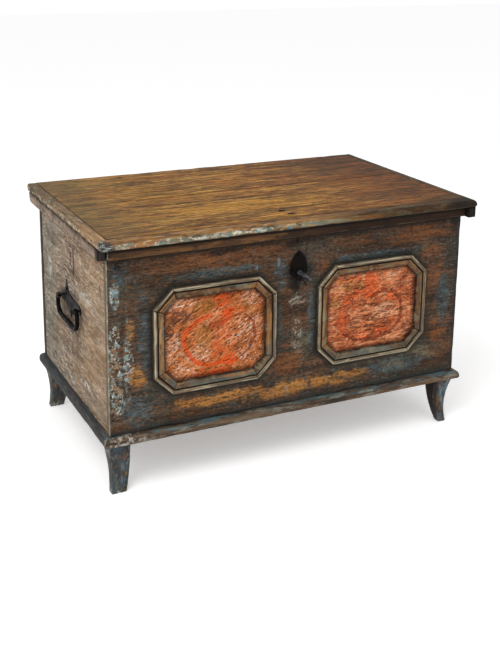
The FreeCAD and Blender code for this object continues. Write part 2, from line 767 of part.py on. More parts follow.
def make_hinge(hand, side):
    """A strap hinge: a leaf on the back board with two knuckles, a leaf housed in the lid with
    the middle knuckle, and the pin through all three."""
    middle = f"{side} * Sizes.hinge_spread"
    left = f"{middle} - Sizes.hinge_wide / 2"
    right = f"{middle} + Sizes.hinge_wide / 2"
    third = "(Sizes.hinge_wide / 3)"
    thick = "Sizes.hinge_leaf_thick"
    gap = "Sizes.knuckle_gap"
    barrel = "Sizes.hinge_barrel"
    notch_floor = f"{AXIS_Z} - {barrel} - Sizes.hinge_notch_room"
    low = f"{AXIS_Z} - Sizes.hinge_case_leaf"
    outline = [
        (left, AXIS_Z),
        (left, f"{low} + {third}"),
        (right, f"{low} + {third}", "Sizes.hinge_wide / 3"),
        (right, AXIS_Z),
        (f"{middle} + {third} / 2", AXIS_Z),
        (f"{middle} + {third} / 2", notch_floor),
        (f"{middle} - {third} / 2", notch_floor),
        (f"{middle} - {third} / 2", AXIS_Z),
    ]
    nails = leaf_nail_places("Sizes.hinge_case_leaf")
    holes = [(middle, f"{AXIS_Z} - {down}", NAIL_HOLE) for down in nails]
    plate = slab(f"{hand}_case_plate", "XZ_Plane", [outline], thick, holes)
    place(plate, y=f"{BACK} + {thick}")
    outer_knuckles = [
        rod(f"{hand}_knuckle_a", (left, AXIS_Y, AXIS_Z), barrel, third, ALONG_X, "90"),
        rod(
            f"{hand}_knuckle_b",
            (f"{middle} + {third} / 2", AXIS_Y, AXIS_Z),
            barrel,
            third,
            ALONG_X,
            "90",
        ),
    ]
    bore = rod(
        f"{hand}_bore",
        (f"{left} - {third}", AXIS_Y, AXIS_Z),
        "Sizes.hinge_pin + Sizes.pin_clearance",
        "Sizes.hinge_wide * 2",
        ALONG_X,
        "90",
    )
    case_leaf = joined(f"{hand}_case_union", [plate, *outer_knuckles])
    keep(minus(f"{hand}_hinge_case_leaf", case_leaf, bore), f"{hand}_hinge_case_leaf")

    start = f"{AXIS_Y} - Sizes.hinge_lid_leaf"
    strap_end = f"{AXIS_Y} + {barrel}"
    lid_nails = leaf_nail_places("Sizes.hinge_lid_leaf")
    strap_outline = rectangle(left, start, right, strap_end)
    strap_holes = [(middle, f"{AXIS_Y} - {back}", NAIL_HOLE) for back in lid_nails]
    strap = slab(f"{hand}_strap", "XY_Plane", [strap_outline], thick, strap_holes)
    place(strap, z=RIM)
    web_left = f"{middle} - {third} / 2 + {gap}"
    web_wide = f"{third} - 2 * {gap}"
    web = block(f"{hand}_web", (web_left, AXIS_Y, AXIS_Z), (web_wide, barrel, f"{RIM} - {AXIS_Z}"))
    knuckle = rod(
        f"{hand}_knuckle_c", (web_left, AXIS_Y, AXIS_Z), barrel, web_wide, ALONG_X, "90"
    )
    lid_bore = rod(
        f"{hand}_lid_bore",
        (f"{left} - {third}", AXIS_Y, AXIS_Z),
        "Sizes.hinge_pin + Sizes.pin_clearance",
        "Sizes.hinge_wide * 2",
        ALONG_X,
        "90",
    )
    lid_leaf = joined(f"{hand}_lid_union", [strap, web, knuckle])
    keep(minus(f"{hand}_hinge_lid_leaf", lid_leaf, lid_bore), f"{hand}_hinge_lid_leaf")

    shaft_start = f"{left} - {gap} - Sizes.pin_head_thick"
    shaft = rod(
        f"{hand}_pin_shaft",
        (shaft_start, AXIS_Y, AXIS_Z),
        "Sizes.hinge_pin",
        f"Sizes.hinge_wide + 2 * {gap} + 2 * Sizes.pin_head_thick",
        ALONG_X,
        "90",
    )
    heads = [
        rod(
            f"{hand}_pin_head_{i}",
            (x, AXIS_Y, AXIS_Z),
            "Sizes.pin_head",
            "Sizes.pin_head_thick",
            ALONG_X,
            "90",
        )
        for i, x in enumerate((shaft_start, f"{right} + {gap}"))
    ]
    keep(joined(f"{hand}_hinge_pin", [shaft, *heads]), f"{hand}_hinge_pin")


# --- lock -------------------------------------------------------------------------------------

LOCK_LEFT = "(Sizes.key_across - Sizes.lock_left)"
LOCK_WIDE = "(Sizes.lock_left + Sizes.lock_right)"
LOCK_LOW = f"({KEY_Z} - Sizes.lock_below)"
LOCK_TALL = "(Sizes.lock_below + Sizes.lock_above)"
PLATE_LEFT = f"({LOCK_LEFT} - Sizes.lock_plate_margin)"
PLATE_RIGHT = f"({LOCK_LEFT} + {LOCK_WIDE} + Sizes.lock_plate_margin)"
STAPLE_X = "(Sizes.key_across + Sizes.staple_from_key)"
STAPLE_LEFT = f"({STAPLE_X} - Sizes.staple_wide / 2)"
BOLT_RIGHT = f"({STAPLE_LEFT} - Sizes.staple_room)"
LEG_OUT = "(Sizes.staple_gap / 2 + Sizes.staple_leg)"


def lock_nail_places():
    """The four corners of the lock plate, inside its edge."""
    inset = "Sizes.lock_nail_inset"
    xs = (f"{PLATE_LEFT} + {inset}", f"{PLATE_RIGHT} - {inset}")
    zs = (f"{LOCK_LOW} + {inset}", f"{LOCK_LOW} + {LOCK_TALL} - {inset}")
    return [(x, z) for x in xs for z in zs]


def make_lock_plate():
    """A flat plate on the inside of the front board that carries the case and bears the key."""
    outline = rectangle(PLATE_LEFT, LOCK_LOW, PLATE_RIGHT, f"{LOCK_LOW} + {LOCK_TALL}")
    hole = keyhole("Sizes.key_across", KEY_Z, "Sizes.key_shank + Sizes.pin_clearance")
    holes = [(x, z, NAIL_HOLE) for x, z in lock_nail_places()]
    plate = slab("lock_plate", "XZ_Plane", [outline, hole], "Sizes.lock_plate_thick", holes)
    keep(place(plate, y=LOCK_FRONT), "lock_plate")


def make_lock_case():
    """A sheet box over the works, open on the plate's side, slotted above for the lid's staple,
    with two guides for the bolt and a bore for the key's nose."""
    wall = "Sizes.lock_wall"
    shell = block(
        "lock_shell",
        (LOCK_LEFT, LOCK_FRONT, LOCK_LOW),
        (LOCK_WIDE, "Sizes.lock_deep", LOCK_TALL),
    )
    hollow = block(
        "lock_hollow",
        (f"{LOCK_LEFT} + {wall}", f"{LOCK_FRONT} - {PAST}", f"{LOCK_LOW} + {wall}"),
        (
            f"{LOCK_WIDE} - 2 * {wall}",
            f"Sizes.lock_deep - {wall} + {PAST}",
            f"{LOCK_TALL} - 2 * {wall}",
        ),
    )
    slot = block(
        "staple_slot",
        (
            f"{STAPLE_LEFT} - Sizes.staple_room",
            f"{BOLT_MIDDLE} - {LEG_OUT} - Sizes.staple_slot_room",
            f"{LOCK_LOW} + {LOCK_TALL} - {wall} - {PAST}",
        ),
        (
            "Sizes.staple_wide + 2 * Sizes.staple_room",
            f"2 * {LEG_OUT} + Sizes.staple_slot_room + Sizes.staple_room / 2",
            f"{wall} + 2 * {PAST}",
        ),
    )
    nose_bore = rod(
        "nose_bore",
        ("Sizes.key_across", f"{LOCK_FRONT} + Sizes.lock_deep + {PAST}", KEY_Z),
        "Sizes.key_nose + Sizes.pin_clearance",
        f"{wall} + 2 * {PAST}",
        ALONG_Y,
        "90",
    )
    box = minus("lock_box", shell, joined("lock_tools", [hollow, slot, nose_bore]))
    guides = []
    inner_back = f"{LOCK_FRONT} + Sizes.lock_deep - {wall}"
    rim = "Sizes.guide_rim"
    loose = "Sizes.guide_clearance"
    for i, x in enumerate(guide_places()):
        lump = block(
            f"guide_lump_{i}",
            (x, f"{BOLT_FRONT} - {rim}", f"{BOLT_LOW} - {rim}"),
            (
                "Sizes.guide_wide",
                f"{inner_back} - {BOLT_FRONT} + {rim} + {wall} / 2",
                f"Sizes.bolt_tall + 2 * {rim}",
            ),
        )
        way = block(
            f"guide_way_{i}",
            (f"{x} - {PAST}", f"{BOLT_FRONT} - {loose}", f"{BOLT_LOW} - {loose}"),
            (
                f"Sizes.guide_wide + 2 * {PAST}",
                f"Sizes.bolt_thick + 2 * {loose}",
                f"Sizes.bolt_tall + 2 * {loose}",
            ),
        )
        guides.append(minus(f"bolt_guide_{i}", lump, way))
    keep(joined("lock_case", [box, *guides]), "lock_case")


def guide_places():
    """Left ends of the two bolt guides: the bolt stays in both over its whole travel."""
    left = f"{BOLT_RIGHT} - Sizes.bolt_long + Sizes.bolt_throw + Sizes.guide_end"
    right = f"{BOLT_RIGHT} - Sizes.guide_wide - Sizes.guide_end"
    return left, right


def make_lock_bolt():
    """A flat bar with a notch in its lower edge for the key's bit."""
    left = f"{BOLT_RIGHT} - Sizes.bolt_long"
    notch_middle = f"Sizes.key_across - Sizes.bolt_throw / 2"
    half = "Sizes.notch_wide / 2"
    high = f"{BOLT_LOW} + Sizes.bolt_tall"
    notch_top = f"{BOLT_LOW} + Sizes.notch_deep"
    outline = [
        (left, BOLT_LOW),
        (f"{notch_middle} - {half}", BOLT_LOW),
        (f"{notch_middle} - {half}", notch_top),
        (f"{notch_middle} + {half}", notch_top),
        (f"{notch_middle} + {half}", BOLT_LOW),
        (BOLT_RIGHT, BOLT_LOW),
        (BOLT_RIGHT, high),
        (left, high),
    ]
    bolt = slab("lock_bolt", "XZ_Plane", [outline], "Sizes.bolt_thick")
    keep(place(bolt, y=f"{BOLT_FRONT} + Sizes.bolt_thick"), "lock_bolt")


def make_lock_spring():
    """A bowed leaf under the case's top that bears on the bolt between its two guides."""
    thick = "Sizes.spring_thick"
    foot = "Sizes.spring_foot"
    half = "Sizes.spring_span / 2"
    high = f"({LOCK_LOW} + {LOCK_TALL} - Sizes.lock_wall - {thick})"
    sag = f"({high} - {BOLT_LOW} - Sizes.bolt_tall - Sizes.guide_clearance)"
    left_guide, right_guide = guide_places()
    middle = f"(({left_guide} + {right_guide} + Sizes.guide_wide) / 2)"
    outline = [
        (f"{middle} - {half} - {foot}", high),
        (f"{middle} - {half}", high),
        (f"{middle} + {half}", high, sag),
        (f"{middle} + {half} + {foot}", high),
        (f"{middle} + {half} + {foot}", f"{high} + {thick}"),
        (f"{middle} + {half}", f"{high} + {thick}"),
        (f"{middle} - {half}", f"{high} + {thick}", f"-{sag}"),
        (f"{middle} - {half} - {foot}", f"{high} + {thick}"),
    ]
    spring = slab("lock_spring", "XZ_Plane", [outline], "Sizes.bolt_thick")
    keep(place(spring, y=f"{BOLT_FRONT} + Sizes.bolt_thick"), "lock_spring")


def clenched_nail_places():
    """Where the staple's two long nails go through the lid."""
    near = (
        f"{STAPLE_X} - Sizes.clench_near_left",
        f"{BOLT_MIDDLE} - Sizes.clench_near_ahead",
    )
    far = (
        f"{STAPLE_X} - Sizes.clench_far_left",
        f"{BOLT_MIDDLE} + Sizes.clench_far_behind",
    )
    return near, far


def flange_nail_places():
    """Where the staple's two short nails are driven, before and behind its loop."""
    ahead = (STAPLE_X, f"{BOLT_MIDDLE} - Sizes.flange_nail_ahead")
    behind = (STAPLE_X, f"{BOLT_MIDDLE} + Sizes.flange_nail_behind")
    return ahead, behind


def make_lid_staple():
    """A loop under the lid that drops into the lock, on a flange nailed to the lid."""
    leg = "Sizes.staple_leg"
    inner = "Sizes.staple_gap / 2"
    bend = f"({BOLT_LOW} - Sizes.staple_below_bolt - {RIM} - {leg} + {LEG_OUT})"
    outline = [
        (f"-{LEG_OUT}", "0"),
        (f"-{LEG_OUT}", bend),
        (LEG_OUT, bend, LEG_OUT),
        (LEG_OUT, "0"),
        (inner, "0"),
        (inner, bend),
        (f"-{inner}", bend, f"-{inner}"),
        (f"-{inner}", "0"),
    ]
    loop = slab("staple_loop", "YZ_Plane", [outline], "Sizes.staple_wide")
    place(loop, x=STAPLE_LEFT, y=BOLT_MIDDLE, z=RIM)
    flange_outline = rectangle(
        f"{STAPLE_X} - Sizes.flange_left",
        f"{BOLT_MIDDLE} - Sizes.flange_ahead",
        f"{STAPLE_X} + Sizes.flange_right",
        f"{BOLT_MIDDLE} + Sizes.flange_behind",
    )
    holes = [(x, y, NAIL_HOLE) for x, y in (*clenched_nail_places(), *flange_nail_places())]
    flange = slab("staple_flange", "XY_Plane", [flange_outline], "Sizes.flange_thick", holes)
    place(flange, z=f"{RIM} - Sizes.flange_thick")
    keep(joined("lid_staple", [loop, flange]), "lid_staple")


def make_escutcheon():
    """A leaf-shaped iron plate round the keyhole."""
    x = "Sizes.key_across"
    foot_bulge = "Sizes.escutcheon_foot_bulge"
    side_bulge = "Sizes.escutcheon_side_bulge"
    top_bulge = "Sizes.escutcheon_top_bulge"
    foot = f"{KEY_Z} - Sizes.escutcheon_foot_down"
    shoulder = f"{KEY_Z} + Sizes.escutcheon_shoulder"
    outline = [
        (x, f"{KEY_Z} - Sizes.escutcheon_down", foot_bulge),
        (f"{x} + Sizes.escutcheon_foot_half", foot, foot_bulge),
        (f"{x} + Sizes.escutcheon_half", shoulder, side_bulge),
        (x, f"{KEY_Z} + Sizes.escutcheon_up", top_bulge),
        (f"{x} - Sizes.escutcheon_half", shoulder, top_bulge),
        (f"{x} - Sizes.escutcheon_foot_half", foot, side_bulge),
    ]
    hole = keyhole(x, KEY_Z, "Sizes.key_shank + Sizes.keyhole_clearance")
    holes = [(across, up, NAIL_HOLE) for across, up in escutcheon_nail_places()]
    leaf = slab("escutcheon", "XZ_Plane", [outline, hole], "Sizes.escutcheon_thick", holes)
    keep(place(leaf, y=FRONT), "escutcheon")


def escutcheon_nail_places():
    """One nail in the leaf's tip and one on each side of the keyhole."""
    x = "Sizes.key_across"
    low = f"{KEY_Z} + Sizes.escutcheon_nail_low"
    return [
        (x, f"{KEY_Z} + Sizes.escutcheon_nail_high"),
        (f"{x} - Sizes.escutcheon_nail_half", low),
        (f"{x} + Sizes.escutcheon_nail_half", low),
    ]


def make_key():
    """The key, drawn along Y from its bow, then turned so that its bit waits beside the notch."""
    ring = "Sizes.key_ring"
    bar = "Sizes.key_ring_bar"
    bow_middle = f"({FRONT} - Sizes.key_reach + {ring} + {bar})"
    shank_start = f"({bow_middle} + {ring} + {bar} - Sizes.key_ring_lap)"
    shank_end = f"({BOLT_MIDDLE} + Sizes.key_bit_wide / 2 + Sizes.key_shoulder)"
    nose_end = f"({LOCK_FRONT} + Sizes.lock_deep - Sizes.key_nose_gap)"
    bow = DOC.addObject("Part::Torus", "key_bow")
    bow.setExpression("Radius1", ring)
    bow.setExpression("Radius2", bar)
    place(bow, y=bow_middle, axis=ALONG_X, angle="90")
    shank_long = f"{shank_end} - {shank_start}"
    shank = rod("key_shank", ("0", shank_end, "0"), "Sizes.key_shank", shank_long, ALONG_Y, "90")
    nose_long = f"{nose_end} - {shank_start}"
    nose = rod("key_nose", ("0", nose_end, "0"), "Sizes.key_nose", nose_long, ALONG_Y, "90")
    collar = rod(
        "key_collar",
        ("0", f"{FRONT} - Sizes.escutcheon_thick - Sizes.key_collar_gap", "0"),
        "Sizes.key_collar",
        "Sizes.key_collar_long",
        ALONG_Y,
        "90",
    )
    bit = block(
        "key_bit",
        ("-Sizes.key_bit_thick / 2", f"{BOLT_MIDDLE} - Sizes.key_bit_wide / 2", "0"),
        ("Sizes.key_bit_thick", "Sizes.key_bit_wide", "Sizes.key_bit_radius"),
    )
    key = joined("key", [bow, shank, nose, collar, bit])
    turned_back = FreeCAD.Vector(0, -1, 0)
    place(key, "Sizes.key_across", "0", KEY_Z, axis=turned_back, angle="Sizes.key_tilt")
    keep(key, "key")


# --- handles ----------------------------------------------------------------------------------


def handle_nail_places():
    """On the plate's tip and foot, from the middle of the handle's axis."""
    return [("Sizes.handle_apex_back", "Sizes.handle_nail_up"), ("0", "-Sizes.handle_nail_down")]


def handle_plate_outline():
    """A pointed leaf with a round lobe at each eye, about the middle of the handle's axis."""
    lobe = "Sizes.handle_lobe"
    pivot = "Sizes.handle_pivot_half"
    apex = "Sizes.handle_apex_back"
    neck = "Sizes.handle_neck_half"
    neck_up = "Sizes.handle_neck_up"
    foot = "Sizes.handle_foot_half"
    foot_up = "-Sizes.handle_foot_down"
    wing_hollow = "-Sizes.handle_wing_hollow"
    return [
        ("0", "-Sizes.handle_plate_down", "-Sizes.handle_foot_hollow"),
        (foot, foot_up, "-Sizes.handle_foot_hollow"),
        (pivot, f"-{lobe}", wing_hollow),
        (pivot, lobe, lobe),
        (f"{apex} + {neck}", neck_up, "-Sizes.handle_front_wing_hollow"),
        (apex, "Sizes.handle_plate_up", "-Sizes.handle_tip_hollow"),
        (f"{apex} - {neck}", neck_up, "-Sizes.handle_tip_hollow"),
        (f"-{pivot}", lobe, wing_hollow),
        (f"-{pivot}", f"-{lobe}", lobe),
        (f"-{foot}", foot_up, wing_hollow),
    ]


def make_handle(hand, side):
    """Back plate, two driven eyes and the bail whose turned-in ends hang in them."""
    thick = "Sizes.handle_plate_thick"
    face = f"{side} * {SIDE}"
    shank_hole = "Sizes.handle_eye_shank + Sizes.nail_clearance"
    pivot = "Sizes.handle_pivot_half"
    holes = [(f"{sign}{pivot}", "0", shank_hole) for sign in ("-", "")]
    holes += [(across, up, NAIL_HOLE) for across, up in handle_nail_places()]
    plate = slab(f"{hand}_handle_plate", "YZ_Plane", [handle_plate_outline()], thick, holes)
    plate_x = face if side > 0 else f"{face} - {thick}"
    keep(place(plate, plate_x, HANDLE_Y, HANDLE_Z), f"{hand}_handle_plate")

    axis_x = f"{side} * {HANDLE_AXIS_X}"
    eye_wide = "Sizes.handle_eye_wide"
    eyes = []
    for i, sign in enumerate((-1, 1)):
        middle_y = f"{HANDLE_Y} + {sign} * {pivot}"
        ring = rod(
            f"{hand}_ring_{i}",
            (axis_x, f"{middle_y} + {eye_wide} / 2", HANDLE_Z),
            "Sizes.handle_eye",
            eye_wide,
            FreeCAD.Vector(1, 0, 0),
            "90",
        )
        tang_long = f"Sizes.handle_axis_out + Sizes.handle_eye_tang - Sizes.handle_pin"
        tang = rod(
            f"{hand}_tang_{i}",
            (f"{side} * ({SIDE} - Sizes.handle_eye_tang)", middle_y, HANDLE_Z),
            "Sizes.handle_eye_shank",
            tang_long,
            FreeCAD.Vector(0, side, 0),
            "90",
        )
        bore = rod(
            f"{hand}_eye_bore_{i}",
            (axis_x, f"{middle_y} + {eye_wide}", HANDLE_Z),
            "Sizes.handle_pin + Sizes.handle_pin_clearance",
            f"2 * {eye_wide}",
            FreeCAD.Vector(1, 0, 0),
            "90",
        )
        eyes.append(minus(f"{hand}_eye_{i}", joined(f"{hand}_eye_blank_{i}", [ring, tang]), bore))
    keep(together(f"{hand}_handle_eyes", eyes), f"{hand}_handle_eyes")
    make_bail(hand, axis_x)


def make_bail(hand, axis_x):
    """A round bar swept down from one eye, along under the hand and up to the other, with the
    grip left thicker in the middle."""
    pivot = "Sizes.handle_pivot_half"
    pin = "Sizes.handle_pin"
    shoulder = "Sizes.handle_shoulder"
    bend = "Sizes.handle_bend"
    drop = "Sizes.handle_drop"
    tip = f"({pivot} - Sizes.handle_eye_wide / 2 - Sizes.handle_tip_short)"
    arm = f"({pivot} + Sizes.handle_eye_wide / 2 + Sizes.handle_arm_gap + {pin})"
    body = DOC.addObject("PartDesign::Body", f"{hand}_handle_bail")
    spine = sketch_on(body, f"{hand}_bail_spine", "YZ_Plane")
    quarter = QUARTER_RISE
    path = [
        (tip, "0"),
        (f"{arm} - {shoulder} + {pin}", "0"),
        (f"{arm} + {pin}", f"-{shoulder}", f"-{shoulder} * {quarter}"),
        (f"{arm} + {pin}", f"{bend} - {drop}"),
        (f"{arm} + {pin} - {bend}", f"-{drop}", f"-{bend} * {quarter}"),
        (f"{bend} - {arm} - {pin}", f"-{drop}"),
        (f"-{arm} - {pin}", f"{bend} - {drop}", f"-{bend} * {quarter}"),
        (f"-{arm} - {pin}", f"-{shoulder}"),
        (f"{shoulder} - {arm} - {pin}", "0", f"-{shoulder} * {quarter}"),
        (f"-{tip}", "0"),
    ]
    draw(spine, path, closed=False)
    section = sketch_on(body, f"{hand}_bail_section", "XZ_Plane")
    draw_circle(section, "0", "0", pin)
    section.setExpression("AttachmentOffset.Base.z", f"-{tip}")
    bar = body.newObject("PartDesign::AdditivePipe", f"{hand}_bail_bar")
    bar.Profile = section
    bar.Spine = (spine, [f"Edge{i + 1}" for i in range(len(path) - 1)])
    grip = sketch_on(body, f"{hand}_grip_profile", "YZ_Plane")
    half = f"({arm} + {pin} - {bend})"
    grip_path = [
        (f"-{half}", "0"),
        (half, "0"),
        (half, pin),
        (f"-{half}", pin, f"Sizes.handle_grip - {pin}"),
    ]
    draw(grip, grip_path)
    grip.setExpression("AttachmentOffset.Base.y", f"-{drop}")
    swell = body.newObject("PartDesign::Revolution", f"{hand}_grip")
    swell.Profile = grip
    swell.ReferenceAxis = (grip, ["H_Axis"])
    swell.Angle = 360
    keep(place(body, axis_x, HANDLE_Y, HANDLE_Z), f"{hand}_handle_bail")


# --- nails ------------------------------------------------------------------------------------


def nail(name, x, y, z, axis, angle, lift, length="Sizes.nail_long"):
    """A clout nail: head on a surface that stands lift above the wood, shank into the wood.
    The nail is drawn along Z from the head, so the turn points its shank the way it is driven."""
    point = (x, y, z)
    head = rod(f"{name}_head", point, "Sizes.nail_head", "Sizes.nail_head_high", axis, angle)
    shank = rod(f"{name}_shank", point, "Sizes.nail_shank", f"{length} + {lift}", axis, angle)
    return joined(name, [head, shank])


def make_case_nails():
    """The clout nails that hold hinge leaves, lock, key plate and handle plates on the case."""
    nails = []
    high = "Sizes.nail_head_high"
    for side in (-1, 1):
        for i, down in enumerate(leaf_nail_places("Sizes.hinge_case_leaf")):
            surface = f"{BACK} + Sizes.hinge_leaf_thick + {high}"
            name = f"hinge_nail_{side + 1}_{i}"
            x = f"{side} * Sizes.hinge_spread"
            lift = "Sizes.hinge_leaf_thick"
            nails.append(nail(name, x, surface, f"{AXIS_Z} - {down}", ALONG_Y, "90", lift))
        for i, (across, up) in enumerate(handle_nail_places()):
            surface = f"{side} * ({SIDE} + Sizes.handle_plate_thick + {high})"
            inward = FreeCAD.Vector(0, -side, 0)
            name = f"handle_nail_{side + 1}_{i}"
            y = f"{HANDLE_Y} + {across}"
            z = f"{HANDLE_Z} + {up}"
            nails.append(nail(name, surface, y, z, inward, "90", "Sizes.handle_plate_thick"))
    for i, (x, z) in enumerate(lock_nail_places()):
        surface = f"{LOCK_FRONT} + {high}"
        lift = "Sizes.lock_plate_thick"
        nails.append(nail(f"lock_nail_{i}", x, surface, z, ALONG_Y, "90", lift))
    for i, (x, z) in enumerate(escutcheon_nail_places()):
        surface = f"{FRONT} - Sizes.escutcheon_thick - {high}"
        lift = "Sizes.escutcheon_thick"
        nails.append(nail(f"key_plate_nail_{i}", x, surface, z, ALONG_Y, "-90", lift))
    keep(together("case_nails", nails), "case_nails")


def make_lid_nails():
    """Nails up through the lid leaves, the staple's short nails, and its two long nails, which
    go through the lid and are clenched over on top of it."""
    nails = []
    high = "Sizes.nail_head_high"
    for side in (-1, 1):
        for i, back in enumerate(leaf_nail_places("Sizes.hinge_lid_leaf")):
            x = f"{side} * Sizes.hinge_spread"
            name = f"leaf_nail_{side + 1}_{i}"
            nails.append(nail(name, x, f"{AXIS_Y} - {back}", f"{RIM} - {high}", ALONG_Y, "0", "0"))
    keep(together("lid_nails", nails), "lid_nails")
    staple_nails = []
    surface = f"{RIM} - Sizes.flange_thick - {high}"
    for i, (x, y) in enumerate(flange_nail_places()):
        lift = "Sizes.flange_thick"
        staple_nails.append(nail(f"flange_nail_{i}", x, y, surface, ALONG_Y, "0", lift))
    for i, (x, y) in enumerate(clenched_nail_places()):
        lift = f"Sizes.flange_thick + {high}"
        shaft = nail(f"clenched_shaft_{i}", x, y, surface, ALONG_Y, "0", lift, "Sizes.lid_thick")
        low = (
            f"{x} - Sizes.clench_long + Sizes.clench_wide",
            f"{y} - Sizes.clench_wide / 2",
            f"{RIM} + Sizes.lid_thick",
        )
        bent = block(f"clench_{i}", low, ("Sizes.clench_long", "Sizes.clench_wide", high))
        staple_nails.append(joined(f"clenched_nail_{i}", [shaft, bent]))
    keep(together("staple_nails", staple_nails), "staple_nails")


def check_and_export():
    """Stops if anything failed to build, then writes one STEP file for each piece."""
    DOC.recompute()
    failed = [
        f"{feature.Label} {feature.State}"
        for feature in DOC.Objects
        if "Invalid" in feature.State or "Error" in feature.State
    ]
    if failed:
        raise RuntimeError("failed: " + ", ".join(failed))
    os.makedirs("parts", exist_ok=True)
    for piece in NODES:
        shape = piece.Shape
        if shape.isNull() or not shape.isValid() or not shape.Solids:
            raise RuntimeError(f"{piece.Label} has no sound solid")
        shape.exportStep(f"parts/{piece.Label}.step")
        print(piece.Label, len(shape.Solids), round(shape.Volume))


make_case_boards()
make_bottom_boards()
make_base_frame()
make_feet()
make_front_top_moulding()
make_octagon("left", -1)
make_octagon("right", 1)
make_lid_boards()
make_lid_edging()
make_cleats()
make_hinge("left", -1)
make_hinge("right", 1)
make_lock_plate()
make_lock_case()
make_lock_bolt()
make_lock_spring()
make_lid_staple()
make_escutcheon()
make_key()
make_handle("left", -1)
make_handle("right", 1)
make_case_nails()
make_lid_nails()
check_and_export()
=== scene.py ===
# %% [markdown]
# # A painted coffer, dressed for the camera
#
# The chest is a nailed softwood box with a plank lid, splayed feet, two octagonal mouldings and
# black ironwork. Its solids come ready made, each in its place. This lesson gives them what the
# solids lack: softened and chipped edges, forged iron, and finishes with grain, old paint and
# wear. The first cell loads the solids and remembers the box that they fill, because nothing that
# is added here may stand outside it.

# %% Load the frame
import json
import math

import bmesh
import bpy
from mathutils import Matrix, Vector, noise

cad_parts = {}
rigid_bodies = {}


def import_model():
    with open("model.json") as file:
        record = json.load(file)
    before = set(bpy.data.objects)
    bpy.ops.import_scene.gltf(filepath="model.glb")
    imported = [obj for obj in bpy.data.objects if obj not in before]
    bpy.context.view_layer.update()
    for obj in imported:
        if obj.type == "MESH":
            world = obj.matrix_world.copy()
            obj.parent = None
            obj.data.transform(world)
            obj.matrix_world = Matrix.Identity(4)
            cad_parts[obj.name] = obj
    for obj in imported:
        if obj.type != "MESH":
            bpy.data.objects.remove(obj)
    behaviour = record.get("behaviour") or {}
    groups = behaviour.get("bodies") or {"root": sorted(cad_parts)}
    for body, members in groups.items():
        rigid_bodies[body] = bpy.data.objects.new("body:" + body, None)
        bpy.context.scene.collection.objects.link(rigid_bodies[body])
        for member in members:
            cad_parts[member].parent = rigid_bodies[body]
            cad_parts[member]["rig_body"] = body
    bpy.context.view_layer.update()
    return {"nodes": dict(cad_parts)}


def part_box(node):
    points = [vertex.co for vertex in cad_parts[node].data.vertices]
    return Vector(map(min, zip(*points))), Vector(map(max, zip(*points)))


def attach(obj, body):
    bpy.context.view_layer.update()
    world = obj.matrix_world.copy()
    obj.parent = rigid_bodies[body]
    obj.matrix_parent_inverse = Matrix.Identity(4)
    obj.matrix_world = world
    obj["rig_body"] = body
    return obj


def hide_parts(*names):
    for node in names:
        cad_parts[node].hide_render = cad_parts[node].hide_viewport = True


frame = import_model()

# %% [markdown]
# ## Where things are
#
# Every height and face that the finishes need is measured from the solids, so that a stroke of
# paint stays on its board if the board moves.

# %% Measure the faces of the chest
front_low, front_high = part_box("front_board")
FRONT_Y, BACK_Y = front_low.y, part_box("back_board")[1].y
SIDE_X, RIM_Z, WALL_Z = front_high.x, front_high.z, front_low.z
TOP_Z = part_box("lid_board_front")[1].z
nose_low, nose_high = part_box("lid_front_edging")
print("front face", round(FRONT_Y, 4), "rim", round(RIM_Z, 4), "lid top", round(TOP_Z, 4))

# %% [markdown]
# ## The camera
#
# The eye stands about two and a half metres away, above the lid and to the left, so that the lid,
# the front and the left end all show. The lens sees the chest a little above the middle of the
# picture: a shift does that without tilting the camera and bending the uprights.

# %% Set up the camera
EYE = Vector((-1.2364, -2.5391, 1.3412))
TURN, NOD, LEAN = 0.4535, 0.2486, -0.0119
LONG_SIDE, SHIFT_PIXELS, FOCAL_PIXELS, SENSOR = 650, -125, 1073.37, 36.0

ahead = Vector((math.sin(TURN) * math.cos(NOD), math.cos(TURN) * math.cos(NOD), -math.sin(NOD)))
level_right = Vector((math.cos(TURN), -math.sin(TURN), 0))
level_down = ahead.cross(level_right)
right = math.cos(LEAN) * level_right + math.sin(LEAN) * level_down
down = -math.sin(LEAN) * level_right + math.cos(LEAN) * level_down

camera_data = bpy.data.cameras.new("camera")
camera_data.sensor_width = SENSOR
camera_data.lens = FOCAL_PIXELS / LONG_SIDE * SENSOR
camera_data.shift_y = SHIFT_PIXELS / LONG_SIDE
camera_data.clip_start, camera_data.clip_end = 0.05, 60
camera = bpy.data.objects.new("camera", camera_data)
axes = Matrix((right, -down, -ahead)).transposed()
camera.matrix_world = Matrix.Translation(EYE) @ axes.to_4x4()
bpy.context.scene.collection.objects.link(camera)
bpy.context.scene.camera = camera
print("lens", round(camera_data.lens, 2), "shift", round(camera_data.shift_y, 4))

# %% [markdown]
# ## Light and floor
#
# Old paint is read by its colour, so the light is broad and nearly even: a pale sky all round,
# one wide lamp high on the left for the lid and the end, and a weak one for the front. The floor
# and the sky look white to the camera and in reflections, while the sky's real strength stays
# lower, so that the wood keeps its own colour.

# %% Helpers for nodes, colours and objects
def put(tree, kind, inputs=None, **settings):
    """A shader node. Each input is given a number, a node, a socket, or something with one."""
    made = tree.nodes.new("ShaderNode" + kind)
    for name, setting in settings.items():
        setattr(made, name, setting)
    for name, given in (inputs or {}).items():
        if isinstance(given, bpy.types.Node):
            given = given.outputs[0]
        given = getattr(given, "socket", given)
        if isinstance(given, bpy.types.NodeSocket):
            tree.links.new(given, made.inputs[name])
        else:
            made.inputs[name].default_value = given
    return made


def paint(code):
    """A colour from its six-figure web code, as the shader counts it."""
    parts = [int(code[i : i + 2], 16) / 255 for i in (0, 2, 4)]
    return (*(p / 12.92 if p <= 0.04045 else ((p + 0.055) / 1.055) ** 2.4 for p in parts), 1.0)


